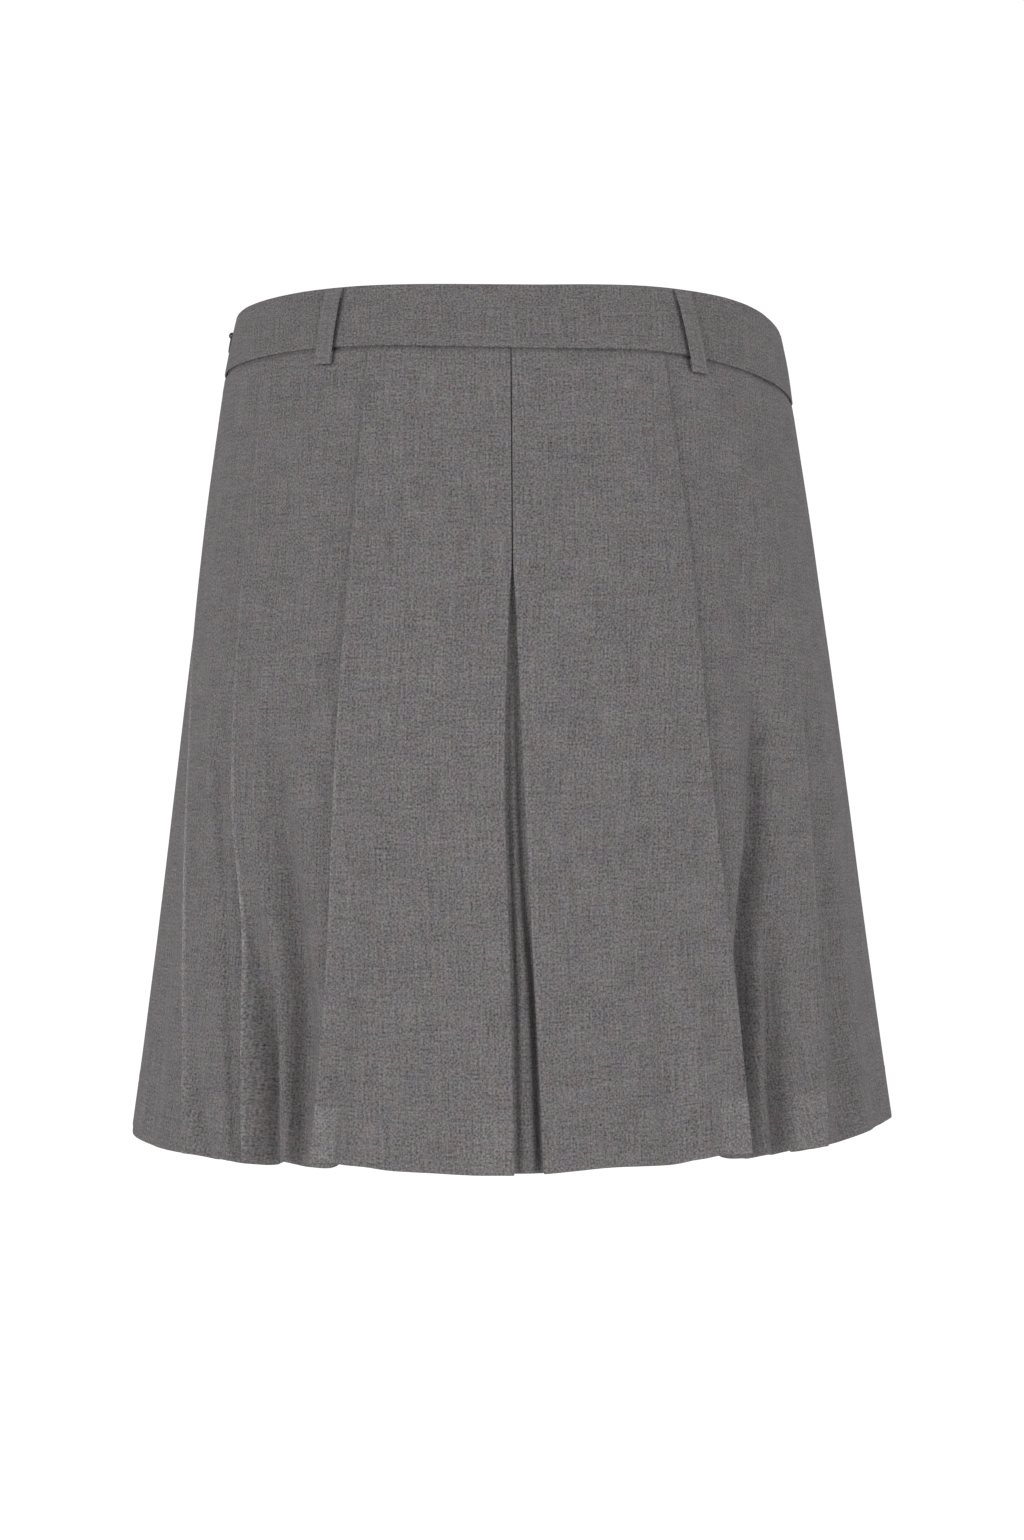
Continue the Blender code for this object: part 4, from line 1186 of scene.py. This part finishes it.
sewing_thread = fine_material("sewing_thread", (0.235, 0.222, 0.224), 0.25, 0.55, 2600.0, 0.05)
nylon_coil = fine_material("nylon_coil", (0.045, 0.043, 0.045), 0.2, 0.38, 1800.0, 0.02)
lacquered_metal = fine_material("lacquered_metal", (0.070, 0.067, 0.069), 0.18, 0.36, 420.0, 0.03,
                                metallic=0.75, coat=0.3)
print("hard and shiny:", [finish.name for finish in (sewing_thread, nylon_coil, lacquered_metal)])

# %% [markdown]
# Every piece now gets its finish. The slider and the pull tab are the frame's own solids, because
# their shape was modelled there in full.

# %% Give every piece its finish
def finish_with(mat, slot, *objs):
    for obj in objs:
        obj.data.materials.clear()
        obj.data.materials.append(mat)


finish_with(suiting_skirt, "grey_suiting", skirt_back, skirt_front)
finish_with(suiting_band, "grey_suiting_band", band_back, band_front)
finish_with(suiting_loops, "grey_suiting_loops", *(loop for loop, _ in loops))
finish_with(tape_weave, "zip_tape_grey", tape_back, tape_front)
finish_with(nylon_coil, "zip_tape_grey", coil_back, coil_front)
finish_with(sewing_thread, None, *loop_threads)
slider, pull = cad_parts["zip_slider"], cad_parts["zip_pull"]
finish_with(lacquered_metal, "zip_metal", slider, pull)
print("finished:", len(garment_pieces), "sewn pieces and 2 of metal")

# %% [markdown]
# ## What moves
# Everything sewn moves with the garment. The slider and its pull are nodes of the frame and move
# by themselves.

for obj in garment_pieces:
    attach(obj, "garment")

# %% [markdown]
# ## Studio
# The skirt is shown as if worn, about a metre over a pale floor, in front of white. The light is
# soft and comes from all round, with a wide panel at each side of the front that models the folds.

# %% Floor
FLOOR, FLOOR_RADIUS = -1.02, 6.0
work = bmesh.new()
bmesh.ops.create_circle(work, cap_ends=True, segments=64, radius=FLOOR_RADIUS,
                        matrix=Matrix.Translation((0.0, 0.0, FLOOR)))
floor_mesh = bpy.data.meshes.new("floor")
work.to_mesh(floor_mesh)
work.free()
floor = bpy.data.objects.new("floor", floor_mesh)
bpy.context.scene.collection.objects.link(floor)
floor_paint = bpy.data.materials.new("pale_floor")
floor_paint.use_nodes = True
tree = floor_paint.node_tree
paint = tree.nodes["Principled BSDF"]
grain = node(tree, "ShaderNodeTexNoise", {}, Scale=3.0)
shade = node(tree, "ShaderNodeMapRange", {}, i0=grain.outputs[0], i3=0.86, i4=0.90)
feed(tree, paint, "Base Color", shade)
paint.inputs["Roughness"].default_value = 0.9
paint.inputs["Emission Color"].default_value = (1.0, 1.0, 1.0, 1.0)
seen = node(tree, "ShaderNodeLightPath").outputs["Is Camera Ray"]
glow = node(tree, "ShaderNodeMapRange", {}, i0=seen, i3=0.12, i4=0.75)
feed(tree, paint, "Emission Strength", glow)
floor_mesh.materials.append(floor_paint)
print("floor at", FLOOR, "m")

# %% [markdown]
# The white surround is bright where the camera sees it and dimmer as a light, so that the cloth
# keeps its folds. Two wide panels could be lamps with small bulbs, but those throw hard shadows.

# %% Surround and panels
world = bpy.data.worlds.new("studio")
bpy.context.scene.world = world
world.use_nodes = True
sky = world.node_tree
background = sky.nodes["Background"]
seen = node(sky, "ShaderNodeLightPath").outputs["Is Camera Ray"]
strength = node(sky, "ShaderNodeMapRange", {}, i0=seen, i3=0.34, i4=1.05)
feed(sky, background, "Strength", strength)
background.inputs["Color"].default_value = (1.0, 1.0, 1.0, 1.0)


def soft_panel(name, place, aim, size, power):
    lamp = bpy.data.lights.new(name, "AREA")
    lamp.shape = "RECTANGLE"
    lamp.size, lamp.size_y = size
    lamp.energy = power
    obj = bpy.data.objects.new(name, lamp)
    obj.location = place
    obj.rotation_euler = (Vector(aim) - Vector(place)).to_track_quat("-Z", "Y").to_euler()
    bpy.context.scene.collection.objects.link(obj)


MID_SKIRT, PANEL_SIZE = (0.0, 0.0, -0.2), (1.8, 2.2)
soft_panel("left_panel", (-2.1, -2.0, 0.3), MID_SKIRT, PANEL_SIZE, 45.0)
soft_panel("right_panel", (2.1, -2.0, 0.3), MID_SKIRT, PANEL_SIZE, 38.5)
print("lamps:", len(bpy.data.lights))

# %% [markdown]
# ## Camera
# The picture was taken from about a metre away, level with the middle of the skirt and a little
# from its left, which shows in how the centre seam and the side seams line up. Its lens was
# found from the picture too, in pixels, with the skirt's middle a few pixels off the centre.

# %% Camera at the photograph's angle
YAW = math.radians(2.5)
DISTANCE, EYE = 1.100, -0.2043
PICTURE_TALL, FOCAL_PIXELS, SHIFT_PIXELS = 1540.0, 2200.0, 3.0
SENSOR = 36.0
camera_data = bpy.data.cameras.new("camera")
camera_data.lens = FOCAL_PIXELS / PICTURE_TALL * SENSOR
camera_data.shift_x = SHIFT_PIXELS / PICTURE_TALL
camera = bpy.data.objects.new("camera", camera_data)
camera.location = (-DISTANCE * math.sin(YAW), -DISTANCE * math.cos(YAW), EYE)
camera.rotation_euler = (math.pi / 2, 0.0, -YAW)
bpy.context.scene.collection.objects.link(camera)
bpy.context.scene.camera = camera
bpy.context.scene.view_settings.view_transform = "Standard"
print("lens:", round(camera_data.lens, 2), "mm")
